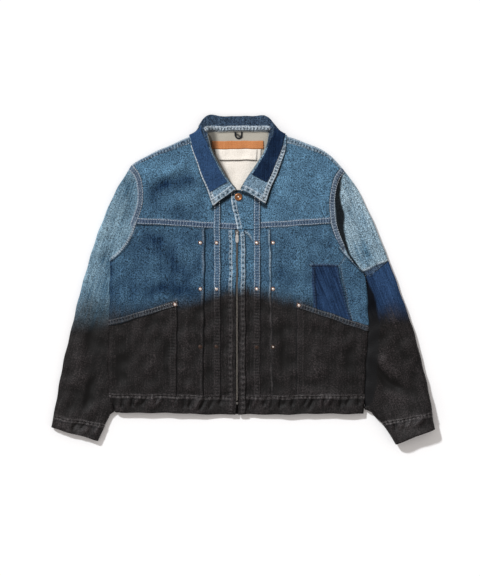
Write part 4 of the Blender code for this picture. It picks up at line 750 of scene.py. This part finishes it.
# Navy cotton: smoother and more even than the denim
navy_cloth = worn_cloth("navy_cloth", "#0f2039", "#3b5b84", grainy=0.45)
cloth("collar_patch_r", navy_cloth,
      finest=2.4, dyed=0, base=0.5, crease=75, shift=tucked)
cloth("collar_patch_l", navy_cloth,
      finest=2.4, dyed=0, base=0.08, crease=75, shift=tucked)
# Black woven tape; cream woven cotton labels, almost plain; and vegetable-tanned leather, warm tan and
# faintly mottled
tape_cloth = worn_cloth("tape_cloth", "#0b0c10", "#2d3138")
label_cloth = worn_cloth("label_cloth", "#e6ded2", "#fdf8f0", worn="#f4efe8", grainy=0.1)
leather = worn_cloth("leather", "#b0693a", "#dc9a68", worn="#d9a274", grainy=0.12)
cloth("label_large", label_cloth, dyed=0,
      shift=into_the_neck)
cloth("label_small", label_cloth,
      dyed=0)
cloth("leather_strip", leather, dyed=0)
cloth("hanger_loop", tape_cloth,
      dyed=0)


# ---- Metal ----
# The zip's chain is brass teeth squeezed on its tapes, with a nickel-plated slider and pull. The neck button
# and the rivets are pressed copper, tacked through the cloth; the lowest rivets were dipped in the dye.

def metal(name, colour, dull, roughness, metallic=1.0):
    """Worn metal: bright where it's rubbed and dull in its hollows, in blotches some 2 mm wide."""
    material, tree, surface = new_material(name)
    where = add(tree, "TexCoord").outputs["Object"]
    blotch = add(tree, "TexNoise", {"Vector": where, "Scale": 420, "Detail": 3}).outputs["Fac"]
    paint = mix(tree, blotch, to_linear(dull), to_linear(colour))
    bump = add(tree, "Bump", {"Height": blotch, "Strength": 0.3, "Distance": 0.0002}).outputs[0]
    tree.links.new(add(tree, "BsdfPrincipled", {
        "Base Color": paint, "Metallic": metallic, "Roughness": roughness,
        "Normal": bump}).outputs[0], surface)
    return material


# Rubbed and tarnished nickel plate, copper dulled brown, its crowns rubbed and painted almost white as a
# highlight, old brass, the button's warm bronze, and copper blackened by dye
nickel = metal("nickel", "#f6f5f2", "#8f8e8d", 0.24, 0.45)
dull_nickel = metal("dull_nickel", "#a3a19e", "#3a393a", 0.3)
copper = metal("copper", "#8a6656", "#3d2820", 0.42)
rubbed_copper_highlight = metal("rubbed_copper_highlight", "#fbf6f1", "#cfc4bc", 0.25, 0.6)
zip_brass = metal("zip_brass", "#c4bfb8", "#45423f", 0.32, 0.8)
bronze = metal("bronze", "#c28c64", "#603a28", 0.35)
dyed_copper = metal("dyed_copper", "#5b4a42", "#2a2422", 0.5)


# The search tree of each cut piece that has been felt so far
FELT = {}


def trees_over(nodes):
    """What can be felt from above on some cloth pieces."""
    graph = bpy.context.evaluated_depsgraph_get()
    for node in nodes:
        if node not in FELT:
            FELT[node] = BVHTree.FromObject(SHELLS[node], graph)
    return [FELT[node] for node in nodes]


def top_at(trees, x, y):
    """The highest point of the cloth at a place in the frame, and its normal."""
    hits = [tree.ray_cast(Vector((x, y, 60 * MM)), Vector((0, 0, -1))) for tree in trees]
    hits = [hit for hit in hits if hit[0] is not None]
    return max(hits, key=lambda hit: hit[0].z)[:2] if hits else (None, None)


def spun(name, node, profile, inner, materials, over):
    """A round metal piece turned from its profile, sunk a little into the cloth where its solid stands.

    Its middle, to inner mm from the axis, has the second material.
    """
    bm = bmesh.new()
    dots = [bm.verts.new((radius * MM, 0, height * MM)) for radius, height in profile]
    lines = [bm.edges.new(pair) for pair in zip(dots[:-1], dots[1:])]
    bmesh.ops.spin(bm, geom=dots + lines, cent=(0, 0, 0), axis=(0, 0, 1), angle=2 * math.pi, steps=28,
                   use_merge=True)
    bmesh.ops.remove_doubles(bm, verts=bm.verts, dist=0.00001)
    bmesh.ops.recalc_face_normals(bm, faces=bm.faces)
    low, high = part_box(node)
    middle = (low + high) / 2
    ground, _ = top_at(trees_over(over), middle.x, middle.y)
    bmesh.ops.translate(bm, verts=bm.verts, vec=(middle.x, middle.y, ground.z - 0.0003))
    for face in bm.faces:
        face.smooth = True
        centre = face.calc_center_median()
        face.material_index = int(math.hypot(centre.x - middle.x, centre.y - middle.y) < inner * MM)
    mesh = bpy.data.meshes.new(name)
    bm.to_mesh(mesh)
    bm.free()
    for material in materials:
        mesh.materials.append(material)
    piece = bpy.data.objects.new(name, mesh)
    bpy.context.scene.collection.objects.link(piece)
    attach(piece, "jacket")
    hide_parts(node)


# Profiles from the axis out: radius and height in mm. A rivet's head has spread as it was pressed.
SPREAD = 1.18
RIVET = [(radius * SPREAD, height) for radius, height in (
    (0, 1.95), (0.6, 1.9), (1.1, 1.65), (1.4, 1.15), (1.75, 0.85), (2.4, 0.95), (3.2, 0.95), (3.8, 0.6),
    (4.2, 0))]
# The middles of the rivets and of the button are near-white copper: rubbed metal with a painted highlight
for side in "rl":
    for row in "123":
        for place in ("strip", "front"):
            if row != "3":
                metals, inner = [copper, rubbed_copper_highlight], 2.7
            else:
                metals, inner = [dyed_copper, rubbed_copper_highlight if side + place == "lfront" else dyed_copper], 1.5
            spun(f"rivet_{place}_{side}_{row}_head", f"rivet_{place}_{side}_{row}", RIVET, inner, metals,
                 (f"{place}_{side}",))
    spun(f"rivet_pocket_{side}_head", f"rivet_pocket_{side}", RIVET, 2.7, [copper, rubbed_copper_highlight],
         (f"welt_{side}",))
BUTTON = [(0, 3.2), (1.4, 3.0), (2.0, 1.9), (2.8, 1.4), (3.8, 1.7), (5.0, 3.2), (6.2, 3.8), (7.4, 3.6),
          (8.4, 2.6), (8.8, 1.2), (8.4, 0.2)]
spun("button_face", "button", BUTTON, 1.9, [bronze, rubbed_copper_highlight], ("neck_tab_l", "yoke_l"))
for node in ("zip_stop", "zip_slider", "zip_pull"):
    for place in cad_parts[node].material_slots:
        place.material = nickel if node == "zip_pull" else dull_nickel

TEETH = 150                    # on each tape
TOOTH_PITCH = 2.5
LOWEST_TOOTH = 265.5           # below the middle of the chest
TOOTH_LEVEL = 10.9
TOOTH = Matrix.Diagonal((2.3, 1.25, 2.3, 1))
bm = bmesh.new()
for number in range(TEETH):
    for way in (-1, 1):
        up = ZIP_AT[1] - LOWEST_TOOTH + TOOTH_PITCH * (number + (way > 0) * 0.5)
        at = Matrix.Translation(Vector((ZIP_AT[0] + 0.6 * way, up, TOOTH_LEVEL)) * MM)
        tooth = bmesh.ops.create_cube(bm, size=MM, matrix=at @ TOOTH)
        edges = list({edge for vertex in tooth["verts"] for edge in vertex.link_edges})
        bmesh.ops.bevel(bm, geom=edges, offset=0.3 * MM, segments=1, profile=0.5, affect="EDGES", material=-1)
mesh = bpy.data.meshes.new("zip_teeth")
bm.to_mesh(mesh)
bm.free()
mesh.materials.append(zip_brass)
teeth = bpy.data.objects.new("zip_teeth", mesh)
bpy.context.scene.collection.objects.link(teeth)
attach(teeth, "jacket")
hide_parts("zip_chain")


# ---- The stitching ----
# Two rows of thick pale cotton thread hold every felled seam, and dark thread the two patches. Each stitch is
# laid on the cloth by itself, and below the edge of the dye the thread is black too.

def thread(name, shadow, light):
    """Twisted cotton, its ply drawn 1 mm long, black where it went into the dye."""
    material, tree, surface = new_material(name)
    where = add(tree, "TexCoord").outputs["Object"]
    twist = add(tree, "TexNoise", {"Vector": where, "Scale": 900, "Detail": 2}).outputs["Fac"]
    dipped = add(tree, "Attribute", attribute_name="dye").outputs["Fac"]
    paint = mix(tree, dipped, mix(tree, twist, to_linear(shadow), to_linear(light)),
                mix(tree, twist, to_linear("#151212"), to_linear("#443f40")))
    bump = add(tree, "Bump", {"Height": twist, "Strength": 0.5, "Distance": 0.0003}).outputs[0]
    tree.links.new(add(tree, "BsdfPrincipled", {
        "Base Color": paint, "Roughness": 0.8, "Specular IOR Level": 0.2,
        "Normal": bump}).outputs[0], surface)
    return material


STITCH_PITCH = 5.4
STITCH = Matrix.Diagonal((3.9 / 2 * MM, 0.6 * MM, 0.5 * MM, 1))    # half its length, width and thickness
STITCH_IN = 1.5                # from the band's edge
NARROW = 4.5                   # a band up to this wide has one row of stitches, down its middle


def stitches(name, material, seams):
    """Stitches along both edges of some sewn lines, each laid on the cloth under it."""
    whole = bmesh.new()
    for seam in seams:
        trees = trees_over(seam.pieces)
        low, high = seam.low, seam.high
        bm = bmesh.new()
        for offset in (low + STITCH_IN, high - STITCH_IN) if high - low > NARROW else ((low + high) / 2,):
            left = STITCH_PITCH / 2
            for start, end in zip(seam.line[:-1], seam.line[1:]):
                way = Vector((end[0] - start[0], end[1] - start[1]))
                aside = Vector((-way.y, way.x)).normalized() * offset
                while left < way.length:
                    at = Vector(start) + way * (left / way.length) + aside
                    left += STITCH_PITCH
                    spot, normal = top_at(trees, (at.x + ZIP_AT[0]) * MM, (at.y + ZIP_AT[1]) * MM)
                    if spot is None or normal.z < 0.4:
                        continue
                    ahead = Vector((way.x, way.y, 0))
                    ahead = (ahead - normal * normal.dot(ahead)).normalized()
                    turn = Matrix((ahead, normal.cross(ahead), normal)).transposed().to_4x4()
                    place = Matrix.Translation(spot + normal * 0.2 * MM)
                    bmesh.ops.create_uvsphere(bm, u_segments=6, v_segments=4, radius=1,
                                              matrix=place @ turn @ STITCH)
                left -= way.length
        run = bpy.data.meshes.new("run")
        bm.to_mesh(run)
        bm.free()
        whole.from_mesh(run)
        bpy.data.meshes.remove(run)
    mesh = bpy.data.meshes.new(name)
    whole.to_mesh(mesh)
    whole.free()
    co = np.empty(len(mesh.vertices) * 3, np.float32)
    mesh.vertices.foreach_get("co", co)
    co = co.reshape(-1, 3) / MM
    put(mesh, "dye", dye_at(co[:, 0] - ZIP_AT[0], co[:, 1] - ZIP_AT[1]))
    mesh.materials.append(material)
    mesh.shade_smooth()
    piece = bpy.data.objects.new(name, mesh)
    bpy.context.scene.collection.objects.link(piece)
    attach(piece, "jacket")


SEWN = {"right": [], "left": [], "neck": [], "patches": []}
for seam in SEAMS:
    first = seam.pieces[0]
    if seam.pitch == PLAIN:
        continue
    if first in ("patch_l", "side_patch_l"):
        SEWN["patches"].append(seam)
    else:
        SEWN[{"_r": "right", "_l": "left"}.get(first[-2:], "neck")].append(seam)
# Thick cotton thread, grey-white between its plies; and dark indigo thread that hardly shows on its patches
pale_thread = thread("pale_thread", "#93a1b0", "#dde3e8")
indigo_thread = thread("indigo_thread", "#101d33", "#2f4766")
stitches("stitches_right", pale_thread, SEWN["right"])
stitches("stitches_left", pale_thread, SEWN["left"])
stitches("stitches_neck", pale_thread, SEWN["neck"])
stitches("stitches_patches", indigo_thread, SEWN["patches"])
